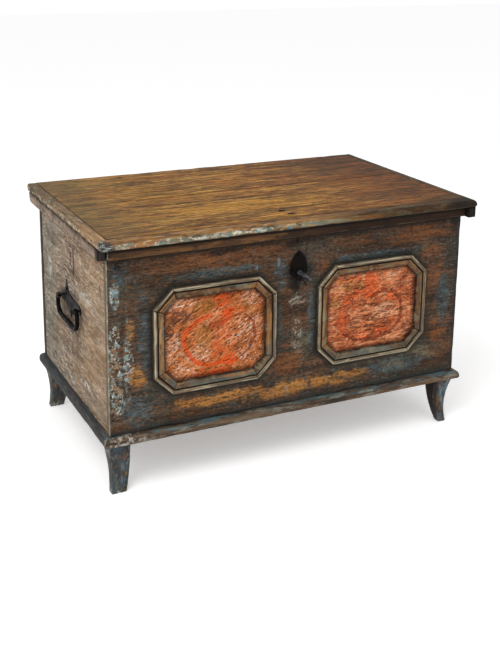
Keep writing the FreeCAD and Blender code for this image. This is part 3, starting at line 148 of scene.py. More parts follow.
def into_scene(shape, name, finish):
    """An object made of a shape, which is used up, with its finish."""
    mesh = bpy.data.meshes.new(name)
    shape.to_mesh(mesh)
    shape.free()
    mesh.materials.append(finish)
    made = bpy.data.objects.new(name, mesh)
    bpy.context.scene.collection.objects.link(made)
    return made


print("middle grey is", [round(part, 3) for part in paint("808080")])

# %% Light the sky and hang the lamps
SKY_LIGHT = 0.72
WHITE = (1, 1, 1, 1)


def seen_directly(tree):
    """1 for rays from the camera, a mirror or glass, and 0 for rays that only carry light."""
    path = put(tree, "LightPath").outputs
    either = put(tree, "Math", {0: path["Is Camera Ray"], 1: path["Is Glossy Ray"]}, operation="MAXIMUM")
    return put(tree, "Math", {0: either, 1: path["Is Transmission Ray"]}, operation="MAXIMUM")


def lamp(name, place, target, width, power):
    """A square soft lamp that faces a point."""
    data = bpy.data.lights.new(name, "AREA")
    data.size, data.energy = width, power
    made = bpy.data.objects.new(name, data)
    turn = (Vector(target) - Vector(place)).to_track_quat("-Z", "Y").to_matrix().to_4x4()
    made.matrix_world = Matrix.Translation(Vector(place)) @ turn
    bpy.context.scene.collection.objects.link(made)


bpy.context.scene.view_settings.view_transform = "Standard"
world = bpy.data.worlds.new("pale_sky")
bpy.context.scene.world = world
world.use_nodes = True
sky_tree = world.node_tree
sky_tree.nodes.clear()
sky_strength = put(sky_tree, "MapRange", {"Value": seen_directly(sky_tree), "To Min": SKY_LIGHT, "To Max": 1})
put(sky_tree, "OutputWorld", {0: put(sky_tree, "Background", {"Color": WHITE, "Strength": sky_strength})})
lamp("high_left", (-2.2, -1.6, 3.2), (0, 0, 0.4), 2.2, 75)
lamp("low_front", (0.9, -3.6, 1.6), (0.1, 0, 0.3), 2.4, 22)
print("the sky and", len(bpy.data.lights), "lamps give light")

# %% Lay the floor
FLOOR_SIZE, FLOOR_GREY, FLOOR_GLOW = 14, 0.93, 0.30

floor_finish = bpy.data.materials.new("pale_floor")
floor_finish.use_nodes = True
floor_tree = floor_finish.node_tree
floor_tree.nodes.clear()
matt = put(floor_tree, "BsdfDiffuse", {"Color": (FLOOR_GREY, FLOOR_GREY, FLOOR_GREY, 1)})
glow = put(floor_tree, "Emission", {"Color": WHITE, "Strength": FLOOR_GLOW})
glowing = put(floor_tree, "AddShader", {0: matt, 1: glow})
seen = put(floor_tree, "MixShader", {0: seen_directly(floor_tree), 1: matt, 2: glowing})
put(floor_tree, "OutputMaterial", {0: seen})
floor_shape = bmesh.new()
bmesh.ops.create_grid(floor_shape, x_segments=1, y_segments=1, size=FLOOR_SIZE)
floor = into_scene(floor_shape, "floor", floor_finish)
print("the floor reaches", FLOOR_SIZE, "m each way")

# %% [markdown]
# ## Marks that every finish shares
#
# Five effects come back in many finishes: the grain of the wood, ragged patches where a coat has
# gone, a soft spot at a place, a brush stroke from one point to another, and hammer marks on
# iron. Each is made once as a node group and set differently in each finish. They give numbers
# from 0 to 1; the colours are chosen in the finishes themselves.
#
# Sums in a shader are nodes, and written as nodes they are hard to read. A reading is a number
# that changes over the surface, and a plain sum with it adds the node that does the sum.

# %% Readings
class Reading:
    """A number or a vector from a socket. a | b is the larger of two, and a & b the smaller."""

    def __init__(self, tree, socket):
        self.tree, self.socket = tree, socket

    __add__ = lambda a, b: reckon("ADD", a, b)
    __sub__ = lambda a, b: reckon("SUBTRACT", a, b)
    __rsub__ = lambda b, a: reckon("SUBTRACT", a, b)
    __truediv__ = lambda a, b: reckon("DIVIDE", a, b)
    __pow__ = lambda a, b: reckon("POWER", a, b)
    __or__ = lambda a, b: reckon("MAXIMUM", a, b)
    __and__ = lambda a, b: reckon("MINIMUM", a, b)
    __abs__ = lambda a: reckon("ABSOLUTE", a)

    def __mul__(self, other):
        multiply = vector if isinstance(other, tuple) else reckon
        return multiply("MULTIPLY", self, other)

    def fade(self, low, high):
        """0 below low, 1 above high and a soft slope between."""
        return read(self.tree, "MapRange", 0, {"Value": self, "From Min": low, "From Max": high},
                    interpolation_type="SMOOTHSTEP")

    def parts(self):
        """The three parts of a vector."""
        return [Reading(self.tree, part) for part in put(self.tree, "SeparateXYZ", {0: self}).outputs]


def read(tree, kind, output, inputs=None, **settings):
    """A reading from one output of a new node."""
    return Reading(tree, put(tree, kind, inputs, **settings).outputs[output])


def reckon(operation, a, b=0, **settings):
    """One sum on numbers."""
    tree = (a if isinstance(a, Reading) else b).tree
    return read(tree, "Math", 0, {0: a, 1: b}, operation=operation, **settings)


def vector(operation, a, b=(0, 0, 0), output="Vector"):
    """One sum on vectors."""
    return read(a.tree, "VectorMath", output, {0: a, 1: b}, operation=operation)


def cloud(at, scale, detail=4, rough=0.6):
    """Plain noise from 0 to 1."""
    return read(at.tree, "TexNoise", 0, {"Vector": at, "Scale": scale, "Detail": detail, "Roughness": rough})


print("ready to read numbers from nodes")

# %% Node groups
def effect(name, wants, gives):
    """An empty node group with named inputs and outputs, and its inputs as readings."""
    tree = bpy.data.node_groups.new(name, "ShaderNodeTree")
    wants = {"Vector": (0, 0, 0), **wants}
    for title, start in wants.items():
        kind = "NodeSocketVector" if isinstance(start, tuple) else "NodeSocketFloat"
        tree.interface.new_socket(title, in_out="INPUT", socket_type=kind).default_value = start
    for title in gives:
        tree.interface.new_socket(title, in_out="OUTPUT", socket_type="NodeSocketFloat")
    inputs = tree.nodes.new("NodeGroupInput").outputs
    tree.nodes.new("NodeGroupOutput")
    return [Reading(tree, inputs[title]) for title in wants]


def give(*answers):
    """Ends a node group: hands readings to its outputs, in their order."""
    tree = answers[0].tree
    for answer, socket in zip(answers, tree.nodes["Group Output"].inputs):
        tree.links.new(answer.socket, socket)
    print(tree.name, "has", len(tree.nodes), "nodes")


print("ready to make node groups")

# %% [markdown]
# Softwood that was split or sawn along the trunk shows three things at once: broad light and dark
# streaks, the dark lines of its yearly rings, which run on for a long way and then close in
# arches, and a fine comb of fibres. All three come from noise that is pulled out along the grain.
# The rings are the sine of the place across the board, bent by slow noise.

# %% Grain
at, rings, arch, comb = effect("wood_grain", {"Rings": 42, "Arch": 0.1, "Comb": 190},
                               ("Fibre", "Ring", "Streak", "Band", "Dash"))
bent = (cloud(at * (1.3, 4.2, 4.2), 1, 2, 0.45) - 0.5) * arch
along, across, deep = at.parts()
turns = (across + deep * 0.7 + bent * 8) * rings * 6.28318
ring = (reckon("SINE", turns) * 0.5 + 0.5) ** 2.4
combed = read(at.tree, "CombineXYZ", 0, {0: along * 13, 1: across * comb, 2: deep * comb})
fibre = cloud(combed, 1, 5, 0.72)
streak = cloud(at * (2.8, 26, 26), 1, 5, 0.66)
band = cloud(at * (6, 80, 80), 1, 4, 0.66)
dash = cloud(at * (26, 420, 420), 1, 2, 0.5)
give(fibre.fade(0.40, 0.64), ring, streak.fade(0.34, 0.66), band.fade(0.46, 0.60), dash.fade(0.60, 0.72))

# %% [markdown]
# A worn coat of paint is missing in ragged islands with hard edges. Noise gives the islands, a
# finer noise eats their edges, and a threshold cuts them out: Amount says how much shows.

# %% Ragged patches
at, size, amount, soft, seed = effect("ragged_patches", {"Size": 14, "Amount": 0.5, "Soft": 0.05, "Seed": 0},
                                      ("Mask",))
shifted = vector("ADD", at, read(at.tree, "CombineXYZ", 0, {0: seed, 1: seed, 2: seed}))
islands = cloud(shifted, size, 6, 0.68)
level = 1 - amount
give(((islands - 0.5) * 2.4 + 0.5).fade(level - soft, level + soft))

# %% [markdown]
# A spot is an ellipsoid round a point, frayed by noise. A stroke is the set of points near the
# line from one end to the other, also frayed. Both read the chest's own coordinates, in metres.

# %% Spots and strokes
at, centre, reach, fray = effect("spot", {"Centre": (0, 0, 0), "Reach": (0.1, 0.1, 0.1), "Fray": 0.5},
                                 ("Mask",))
far = vector("LENGTH", vector("DIVIDE", vector("SUBTRACT", at, centre), reach), output="Value")
give((far + (cloud(at, 26, 6, 0.7) - 0.5) * fray * 3).fade(1, 0.45))

at, start, end, half = effect("stroke", {"From": (0, 0, 0), "To": (0.1, 0, 0), "Half": 0.006}, ("Mask",))
run = vector("SUBTRACT", end, start)
away = vector("SUBTRACT", at, start)
share = reckon("DIVIDE", vector("DOT_PRODUCT", away, run, "Value"), vector("DOT_PRODUCT", run, run, "Value"),
               use_clamp=True)
nearest = read(at.tree, "VectorMath", 0, {0: run, "Scale": share}, operation="SCALE")
off = vector("DISTANCE", away, nearest, "Value")
frayed = (cloud(at, 60, 5, 0.7) - 0.5) * 2.2
give((off / half + frayed).fade(1.25, 0.55))

# %% [markdown]
# Forged iron is a net of shallow dents. Smooth Voronoi cells give the dents and noise gives the
# scale and rust between them.

# %% Hammer marks
at, dents = effect("hammer_marks", {"Dents": 140}, ("Height", "Rust"))
hollows = read(at.tree, "TexVoronoi", "Distance", {"Vector": at, "Scale": dents, "Smoothness": 0.7},
               feature="SMOOTH_F1")
give(hollows + cloud(at, 420, 4, 0.65) * 0.35, cloud(at, 55, 6, 0.7).fade(0.50, 0.66))

# %% [markdown]
# ## Writing a finish
#
# Every finish starts from the same three things: the chest's coordinates, the board's own
# coordinates with X along its grain, and a number that says how worn the edge is. The last two
# are stored on each piece's points when it is modelled. A few short helpers place the effects and
# mix colours, so that a finish reads as a list of what was done to the wood. Each line names
# where, the colour and its strength, and for a coat in ragged patches also their size, amount,
# softness, seed and pull. A pull below 1 draws the patches out along the grain. Spots and strokes
# are given in millimetres on the face that is being painted.

# %% Helpers for finishes
FINISHES = {}
FACES = {
    "front": (lambda across, up, off: (across, off, up), FRONT_Y, 0.06),
    "top": (lambda across, up, off: (across, up, off), TOP_Z, 0.06),
    "end": (lambda across, up, off: (off, across, up), -SIDE_X, 0.05),
}


class Finish:
    """A material in the making, with its coordinates and its colour so far."""

    def __init__(self, name, face="front"):
        self.name = name
        self.turn, self.level, self.thick = FACES[face]
        self.material = bpy.data.materials.new(name)
        self.material.use_nodes = True
        self.tree = self.material.node_tree
        self.tree.nodes.clear()
        self.place = read(self.tree, "TexCoord", "Object")
        self.board = read(self.tree, "Attribute", "Vector", attribute_name="grain_at")
        self.worn = read(self.tree, "Attribute", "Fac", attribute_name="worn")
        self.x, self.y, self.z = self.place.parts()

    def use(self, group, inputs):
        """The outputs of one of the shared effects."""
        made = put(self.tree, "Group", inputs, node_tree=bpy.data.node_groups[group])
        return [Reading(self.tree, socket) for socket in made.outputs]

    def grain(self, rings, arch, comb):
        """Fibre, ring, streak, band and dash."""
        return self.use("wood_grain", {"Vector": self.board, "Rings": rings, "Arch": arch, "Comb": comb})

    def patches(self, size, amount, soft, seed, pull=None):
        """Ragged patches, pulled along and across the grain, or all alike."""
        where = self.board * (pull[0], pull[1], pull[-1]) if pull else self.place
        return self.use("ragged_patches", {"Vector": where, "Size": size, "Amount": amount, "Soft": soft,
                                           "Seed": seed})[0]

    def slant(self, angle):
        """From here on, pulled patches run uphill across the front by this angle."""
        self.board = read(self.tree, "VectorRotate", 0, {"Vector": self.place, "Angle": angle},
                          rotation_type="Y_AXIS")

    def spot(self, centre, reach, fray=0.5):
        return self.use("spot", {"Vector": self.place, "Centre": centre, "Reach": reach, "Fray": fray})[0]

    def on_face(self, across, up, off):
        return self.turn(across / 1000, up / 1000, off)

    def spots(self, places, fray=0.5):
        """One mask from soft spots on a face, each given by its place and its two half sizes."""
        total = None
        for across, up, wide, tall in places:
            here = self.spot(self.on_face(across, up, self.level), self.on_face(wide, tall, self.thick), fray)
            total = total | here if total else here
        return total

    def strokes(self, line, half):
        """One mask from brush strokes through the points of a line on a face."""
        total = None
        for start, end in zip(line, line[1:]):
            here = self.use("stroke", {"Vector": self.place, "From": self.on_face(*start, self.level),
                                       "To": self.on_face(*end, self.level), "Half": half / 1000})[0]
            total = total | here if total else here
        return total

    def shades(self, amount, stops):
        """Starts the colour as a run of shades along a number from 0 to 1."""
        ramp = put(self.tree, "ValToRGB", {0: amount})
        run = ramp.color_ramp.elements
        run.remove(run[1])
        for position, code in stops.items():
            stop = run.new(position) if position else run[0]
            stop.position, stop.color = position, paint(code)
        self.colour = ramp.outputs[0]

    def lay(self, mask, colour, strength=1):
        """Lays a colour over what is there, where the mask is 1."""
        if strength != 1:
            mask = mask * strength
        self.colour = put(self.tree, "Mix", {0: mask, 6: self.colour, 7: paint(colour)},
                          data_type="RGBA").outputs[2]

    def touch(self, where, colour, strength, size, amount, soft, seed, pull=None):
        """Lays a colour in ragged patches inside a mask."""
        self.lay(where * self.patches(size, amount, soft, seed, pull), colour, strength)

    def done(self, rough, height, depth, shine):
        """Ends the material with its shader, and keeps it under its name."""
        bump = put(self.tree, "Bump", {"Strength": 1, "Distance": depth, "Height": height})
        shader = put(self.tree, "BsdfPrincipled", {"Base Color": self.colour, "Roughness": rough,
                                                   "Specular IOR Level": shine, "Normal": bump})
        put(self.tree, "OutputMaterial", {0: shader})
        FINISHES[self.name] = self.material
        print(self.name, "has", len(self.tree.nodes), "nodes")


print("ready to mix finishes")

# %% [markdown]
# ## The lid's wood
#
# The lid was never painted, or has lost it all: it is golden brown softwood, polished by hands. Its
# light and dark streaks run the whole length. It is most golden in the front half, olive at the
# back left and nearly black-brown towards the back right corner. A split, small knots and the holes
# of the two nails that hold the lock's staple are dark. The finish is made of streaks, ring lines
# and fibres first, then large soft tints, and last the marks that sit at one place.

# %% Lid finish
wood = Finish("lid_wood", "top")
fibre, ring, streak, band, dash = wood.grain(26, 0.16, 150)
along = (0.3, 3)
wood.shades(streak, {0: "683d13", 0.35: "85511b", 0.62: "a06622", 1: "cc8833"})
wood.lay(band, "5a3816", 0.3)
wood.lay(ring, "5c3a16", 0.2)
wood.lay(wood.patches(6, 0.46, 0.16, 2, (0.6, 1.8)), "8f5526", 0.55)
wood.lay(wood.patches(8, 0.4, 0.14, 4, (0.5, 1.8)), "6a5630", 0.55)
wood.touch(wood.spots([(-100, -120, 420, 75), (20, -155, 200, 30)]), "d39634", 0.72, 12, 0.6, 0.22, 3,
           (0.4, 2.2))
wood.touch(wood.spots([(120, 140, 260, 100), (360, -80, 140, 50), (-50, 270, 240, 30),
                       (-380, 120, 80, 50)]), "b06427", 0.74, 14, 0.64, 0.2, 9, (0.4, 2.2))
wood.lay(wood.spots([(-430, 260, 160, 100), (-470, 0, 60, 160)]), "70673c", 0.58)
wood.touch(wood.spots([(-300, 210, 240, 22), (-435, 80, 30, 70), (-80, 85, 300, 20),
                       (20, -45, 140, 18), (240, -120, 30, 50), (-200, -235, 200, 20)]), "4a2b0c",
           0.84, 26, 0.66, 0.16, 12, (0.16, 3.6))
dark_back = (wood.y + wood.x * 0.55).fade(0.1, 0.42)
wood.lay(dark_back, "3a220c", 0.84)
wood.touch(dark_back, "2e1d0e", 0.66, 24, 0.42, 0.12, 14, along)
wood.lay(wood.x.fade(0.1, 0.5), "5c3f20", 0.52)
right_half = wood.x.fade(-0.05, 0.25)
wood.touch(right_half, "a35d28", 0.66, 14, 0.5, 0.18, 10, (0.5, 2))
wood.touch(right_half, "2f1c0e", 0.56, 24, 0.38, 0.12, 11, (0.4, 2))
wood.lay(wood.patches(24, 0.32, 0.06, 21, (0.13, 3.6)), "3a220b", 0.66)
wood.lay(wood.patches(90, 0.34, 0.05, 22, (0.1, 2.4)), "2e1a08", 0.6)
wood.touch(wood.x.fade(0.45, 0), "e8b25a", 0.9, 60, 0.36, 0.05, 5, (0.08, 3))
wood.touch(wood.x.fade(0.1, -0.5), "86803f", 0.45, 26, 0.36, 0.08, 30, along)
split = wood.strokes([(-360, -20), (-200, -40), (-20, -45), (120, -52)], 2.8)
marks = wood.spots([(-266, 305, 8, 16), (-268, 205, 14, 6), (-264, 128, 12, 6), (-290, -150, 14, 6),
                    (2, -192, 14, 12), (6, -238, 10, 12), (260, 170, 22, 6)])
seam = wood.strokes([(-500, 42.5), (500, 42.5)], 3)
cracks = split | (marks | seam)
wood.lay(cracks, "24170d", 0.86)
wood.lay(wood.spots([(3, -203, 6, 5), (4, -222, 3, 12)]), "9a8580", 0.75)
wood.touch(wood.x.fade(0.5, 0.05), "dc9c48", 0.55, 60, 0.34, 0.08, 6, (0.28, 2.2))
wood.lay(wood.patches(64, 0.38, 0.08, 8, (0.28, 2.2)), "321c0b", 0.6)
wood.touch(wood.x.fade(0.42, -0.1), "e6a548", 0.4, 170, 0.35, 0.06, 40, (0.24, 1.5))
wood.lay(wood.patches(160, 0.4, 0.06, 41, (0.24, 1.5)), "2b1808", 0.44)
wood.lay(fibre, "2e1b08", 0.5)
wood.lay(dash, "2e1b08", 0.5)
wood.lay(wood.x.fade(-0.26, -0.5), "564a36", 0.5)
wood.lay(wood.y.fade(-0.272, -0.2755), "2c1b0f", 0.8)
wood.lay(abs(wood.x).fade(SIDE_X - 0.006, SIDE_X - 0.002), "33241a", 0.7)
wood.lay(wood.worn.fade(0.35, 0.9), "8d6a40", 0.4)
wood.lay(wood.z.fade(TOP_Z - 0.012, TOP_Z - 0.018), "6a5136", 0.85)
height = fibre + ring - cracks * 4
wood.done(0.62, height, 0.001, shine=0.1)

# %% [markdown]
# ## The lid's edging and cleats
#
# The rounded front edge was painted once. Its top is rubbed to golden wood, and on the round side
# grey-green, teal, cream and orange remains of paint lie next to one another. Towards the right it
# is nearly black, and a dark line along its lower edge is a painted shadow. The left end is brown
# above and flecked with green and cream where it turns down; the front left corner is a dark knot
# with pale scratches. The cleat under the end is pinkish brown, and its front end is painted almost
# black as the shade under the rounded edge.

# %% Edging finish
wood = Finish("edging_wood")
fibre, _, streak, band, _ = wood.grain(60, 0.06, 170)
along = (0.45, 1.6)
wood.shades(streak, {0: "6b4b2a", 0.5: "93693c", 1: "b2854e"})
wood.lay(band, "553a21", 0.5)
below = wood.z.fade(TOP_Z - 0.003, TOP_Z - 0.0085)
left_part = wood.x.fade(0.1, -0.06)
wood.lay(below, "84653d", 0.55)
wood.touch(below, "948f75", 0.85, 30, 0.52, 0.07, 4, along)
wood.touch(below * left_part, "5f8f93", 0.88, 36, 0.42, 0.06, 11, (0.8, 1.1))
wood.touch(below, "b8722f", 0.85, 30, 0.36, 0.06, 17, along)
wood.touch(below * left_part, "d9d6c6", 0.84, 60, 0.36, 0.06, 23, (0.8, 1.1))
wood.touch(left_part, "c9b68e", 0.5, 70, 0.27, 0.07, 24, along)
wood.lay(wood.patches(34, 0.34, 0.06, 31, along), "33251a", 0.7)
right_part = wood.x.fade(-0.04, 0.34)
wood.lay(right_part, "291a0f", 0.82)
wood.touch(right_part, "66593f", 0.6, 30, 0.36, 0.08, 7, along)
# Painted shadow: a dark line along the lower edge of the rounded edging.
wood.lay(wood.z.fade(nose_low.z + 0.005, nose_low.z + 0.0015), "2a1e14", 0.7)
end = abs(wood.x).fade(0.4985, 0.5015)
wood.lay(end, "8b7155", 0.78)
wood.touch(end, "52483a", 0.74, 34, 0.38, 0.09, 13, (0.5, 1.3))
wood.touch(end, "a3a189", 0.7, 60, 0.34, 0.07, 19, (0.6, 1.2))
wood.lay(end * wood.y.fade(0.02, 0.26), "4f4436", 0.52)
wood.touch(end * wood.y.fade(-0.05, -0.22), "bb9366", 0.66, 26, 0.6, 0.2, 21, (0.5, 1.3))
turned = end * wood.z.fade(TOP_Z - 0.004, TOP_Z - 0.01)
wood.touch(turned, "d9c3a0", 0.76, 80, 0.38, 0.05, 29)
wood.touch(turned, "201a14", 0.82, 46, 0.38, 0.05, 33)
wood.lay(end * wood.x.fade(0.2, 0.45), "3f3326", 0.7)
wood.lay(wood.spot((0.524, -0.31, TOP_Z - 0.012), (0.13, 0.09, 0.06)), "14110f", 0.88)
corner = wood.spot((-0.52, -0.309, TOP_Z - 0.008), (0.034, 0.03, 0.03), 0.4)
wood.lay(corner, "2c3134", 0.88)
wood.touch(corner, "a9b8b8", 0.85, 90, 0.36, 0.05, 41, (0.5, 0.5, 1.4))
cleat = wood.z.fade(RIM_Z + 0.001, RIM_Z - 0.001)
wood.lay(cleat, "9c8674", 0.92)
wood.lay(cleat * wood.z.fade(RIM_Z - 0.013, RIM_Z - 0.003), "41352a", 0.82)
wood.touch(cleat, "a08c7c", 0.62, 34, 0.46, 0.1, 27, (1.6, 0.35, 1.6))
wood.touch(cleat, "544639", 0.65, 26, 0.36, 0.08, 37, (1.6, 0.4, 1.6))
# Painted shade: the cleat's front end, under the rounded edge, is made almost black.
shaded_cleat_end = cleat * wood.y.fade(FRONT_Y + 0.022, FRONT_Y + 0.006)
wood.lay(shaded_cleat_end, "17181a", 0.92)
wood.lay(cleat * wood.x.fade(0.3, 0.45), "15110e", 0.92)
wood.lay(fibre, "2f2113", 0.45)
wood.lay(wood.worn.fade(0.45, 0.95), "b0976f", 0.3)
height = fibre + wood.patches(26, 0.36, 0.07, 31, along) * -0.9
wood.done(0.66, height, 0.0011, shine=0.14)

# %% [markdown]
# ## The ends
#
# The end boards are dry, bleached softwood with a little pink in it and long arched rings. The
# edge of the front board shows as a grey-green strip, and the back edge is nearly black. Round the
# handle a painted shadow, with some dirt, darkens the wood, and one old mortise was filled with
# darker wood above it.

# %% End board finish
wood = Finish("side_wood", "end")
fibre, ring, streak, band, dash = wood.grain(17, 0.42, 120)
wood.shades(streak, {0: "77644f", 0.4: "957f69", 0.7: "ab957f", 1: "c3b19d"})
wood.lay(ring, "66503e", 0.48)
wood.lay(band, "7b6754", 0.36)
wood.lay(wood.patches(6, 0.44, 0.22, 2), "a3825f", 0.55)
wood.lay(wood.patches(60, 0.36, 0.1, 4, (0.7, 1.4)), "5a4a3c", 0.4)
wood.lay(wood.patches(60, 0.34, 0.1, 9, (0.7, 1.4)), "c2b3a2", 0.42)
wood.lay(wood.patches(16, 0.26, 0.1, 12, (0.5, 2.2)), "b9ada0", 0.5)
wood.lay(wood.patches(20, 0.34, 0.08, 20, (0.35, 2.2)), "5b4a3c", 0.6)
wood.lay(wood.patches(40, 0.2, 0.06, 15, (0.5, 1.6)), "c8c0b5", 0.5)
front_part = wood.y.fade(0.02, -0.2)
wood.lay(front_part, "b08c62", 0.34)
wood.touch(wood.y.fade(0.04, 0.24), "74766a", 0.66, 9, 0.62, 0.16, 31)
wood.lay(wood.z.fade(RIM_Z - 0.06, RIM_Z - 0.012), "544537", 0.62)
wood.touch(wood.z.fade(WALL_Z + 0.12, WALL_Z + 0.005), "7b7a70", 0.6, 12, 0.5, 0.16, 23)
# Painted shadow of the handle, with some dirt: a dark spot round it.
wood.lay(wood.spots([(10, 385, 130, 85)]), "3a3029", 0.66)
mortise = (wood.strokes([(13, 552), (16, 497)], 6) | wood.strokes([(16, 497), (-8, 484)], 8)
           | wood.strokes([(-10, 548), (-12, 494)], 4.6))
filled = wood.spots([(1, 522, 22, 52)], 0.1)
wood.lay(filled, "967a70", 0.7)
wood.lay(mortise, "261c17", 0.9)
wood.touch(wood.spots([(-100, 213, 35, 14)], 0.8), "e4e0d8", 0.85, 60, 0.55, 0.06, 25)
wood.touch(wood.spots([(215, 440, 30, 35)], 0.8), "c3c6bd", 0.75, 40, 0.55, 0.08, 27)
wood.touch(wood.spots([(-115, 452, 60, 16)], 0.9), "c2c9bf", 0.72, 34, 0.6, 0.12, 26)
wood.lay(wood.strokes([(-222, 515), (-228, 488)], 4), "3a2e26", 0.8)
edge_strip = wood.y.fade(FRONT_Y + 0.03, FRONT_Y + 0.022)
wood.lay(edge_strip, "858a7d", 0.72)
wood.touch(edge_strip, "b9bcae", 0.75, 30, 0.42, 0.06, 8, (1, 1, 0.5))
wood.touch(edge_strip, "5f4f3c", 0.8, 26, 0.36, 0.06, 14, (1, 1, 0.5))
wood.lay(wood.y.fade(BACK_Y - 0.03, BACK_Y - 0.012), "2b2520", 0.9)
wood.lay(fibre, "453526", 0.52)
wood.lay(dash, "3b2c20", 0.5)
wood.touch(wood.patches(14, 0.5, 0.2, 35), "d8ccba", 0.56, 150, 0.36, 0.05, 33, (0.3, 1.6))
wood.lay(wood.worn.fade(0.35, 0.9), "a3937f", 0.35)
inside = wood.x.fade(-SIDE_X + 0.012, -SIDE_X + 0.016) * wood.x.fade(SIDE_X - 0.012, SIDE_X - 0.016)
wood.lay(inside, "7a5f43", 0.9)
height = fibre + ring * 1.2
wood.done(0.78, height, 0.001, shine=0.12)

# %% [markdown]
# ## Paint round the octagons
#
# Much of the front's paint follows the two octagonal mouldings: dirt and painted shade darken the
# paint along them, and the fields inside them have a colour of their own. One group gives the
# distance from an octagon's outer edge, more than 0 outside and less than 0 inside, from the same
# four sizes that the mouldings were cut to.

# %% Octagon distance
octagon = {place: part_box(f"left_octagon_{place}") for place in ("bottom", "left", "right", "top")}
left_x, right_x = octagon["left"][0].x, octagon["right"][1].x
low_z, high_z = octagon["bottom"][0].z, octagon["top"][1].z
OCTAGON_X, OCTAGON_Z = -(left_x + right_x) / 2, (low_z + high_z) / 2
HALF_WIDE, HALF_TALL = (right_x - left_x) / 2, (high_z - low_z) / 2
CORNER = (HALF_WIDE * 2 - (octagon["top"][1].x - octagon["top"][0].x)) / 2
BAND = 0.031

at, centre, half_wide, half_tall, corner = effect(
    "octagon", {"Centre": (0, 0, 0), "Half Wide": 0.16, "Half Tall": 0.13, "Corner": 0.05}, ("Outside",))
x, _, z = vector("ABSOLUTE", vector("SUBTRACT", at, centre)).parts()
flat = (x - half_wide) | (z - half_tall)
slope = ((x - half_wide) + (z - half_tall) + corner) * 0.70711
give(flat | slope)


def around_octagon(finish, side):
    """Distance from the octagon on the left (-1) or the right (+1)."""
    return finish.use("octagon", {"Vector": finish.place, "Centre": (side * OCTAGON_X, FRONT_Y, OCTAGON_Z),
                                  "Half Wide": HALF_WIDE, "Half Tall": HALF_TALL, "Corner": CORNER})[0]


print("octagons at", round(OCTAGON_X, 4), round(OCTAGON_Z, 4), "corner", round(CORNER, 4))

# %% [markdown]
# ## The painted front
#
# The front had several coats. Under a thin blue-grey one lies brown, and where hands and feet have
# rubbed it, orange and yellow ochre wood shows, most of all below the fields and above them.
# Lime white has flaked off in a column near the left edge and under the lock. The two fields are
# salmon red with a simple wreath brushed in vermilion, worn into flecks. Each field is a finish of
# its own, for the faces of the front board that lie inside its octagon, because one finish with
# all three would be too large for the renderer.

# %% The left field
LEFT_WREATH = [(-236, 425), (-275, 410), (-302, 392), (-308, 362), (-300, 334), (-277, 306), (-246, 293),
               (-205, 296), (-165, 297), (-131, 318), (-115, 352), (-120, 390), (-145, 414), (-180, 412),
               (-205, 400)]

# Salmon red, worn to pink flecks and bare brown, with a vermilion wreath between two broad dabs.
coat = Finish("left_field")
fibre, _, _, _, _ = coat.grain(38, 0.06, 150)
scratch = (0.42, 1, 1.3)
coat.slant(0.5)
coat.shades(coat.patches(26, 0.5, 0.32, 41, scratch), {0: "a15a2e", 0.45: "c6723c", 1: "de9060"})
coat.touch(coat.spots([(-262, 450, 50, 26), (-245, 365, 35, 55), (-135, 425, 25, 30)], 0.8), "85682a",
           0.76, 90, 0.5, 0.14, 43, scratch)
coat.touch(coat.spots([(-318, 425, 50, 30), (-345, 400, 20, 30), (-225, 395, 30, 12)], 0.7), "54372b",
           0.86, 90, 0.6, 0.12, 47, scratch)
coat.lay(coat.patches(90, 0.34, 0.07, 51, scratch), "6c3a22", 0.66)
coat.touch(coat.spots([(-205, 350, 50, 90), (-225, 275, 60, 20)], 0.9), "d25a28", 0.74, 60, 0.56, 0.14,
           69, scratch)
pink = coat.spots([(-135, 372, 60, 50), (-272, 322, 40, 36), (-130, 315, 50, 30), (-335, 340, 35, 70),
                   (-120, 455, 50, 30), (-310, 462, 60, 20), (-320, 285, 50, 30)], 0.8)
coat.touch(pink, "dda07c", 0.78, 110, 0.44, 0.08, 71, scratch)
coat.touch(pink, "f6dcc6", 0.82, 150, 0.3, 0.05, 81, scratch)
coat.touch(coat.strokes(LEFT_WREATH[:9], 6.2), "e2561f", 0.86, 70, 0.78, 0.16, 61)
coat.touch(coat.strokes(LEFT_WREATH[8:], 4.2), "7c2f1c", 0.7, 70, 0.74, 0.16, 62)
dabs = coat.spots([(-203, 462, 30, 36), (-196, 420, 22, 30), (-215, 270, 70, 12), (-185, 296, 26, 20),
                   (-150, 425, 30, 10)], 0.8)
coat.touch(dabs, "e4541d", 0.84, 90, 0.58, 0.16, 67, scratch)
coat.lay(coat.patches(130, 0.33, 0.05, 91, scratch), "34180c", 0.8)
coat.lay(coat.patches(260, 0.38, 0.05, 95, scratch), "3a1d10", 0.74)
# Painted shade with dark patina along the field's edge, next to the raised moulding.
rim = around_octagon(coat, -1).fade(-0.045, -0.032)
coat.lay(rim, "35190f", 0.72)
height = fibre + coat.patches(80, 0.4, 0.07, 51, scratch) * -0.8
coat.done(0.7, height, 0.001, shine=0.12)

# %% The right field
RIGHT_WREATH = [(222, 412), (190, 422), (155, 410), (138, 380), (133, 345), (145, 312), (176, 292),
                (212, 286), (250, 289), (288, 300), (312, 322), (320, 352), (314, 385), (292, 412),
                (258, 420), (226, 405)]

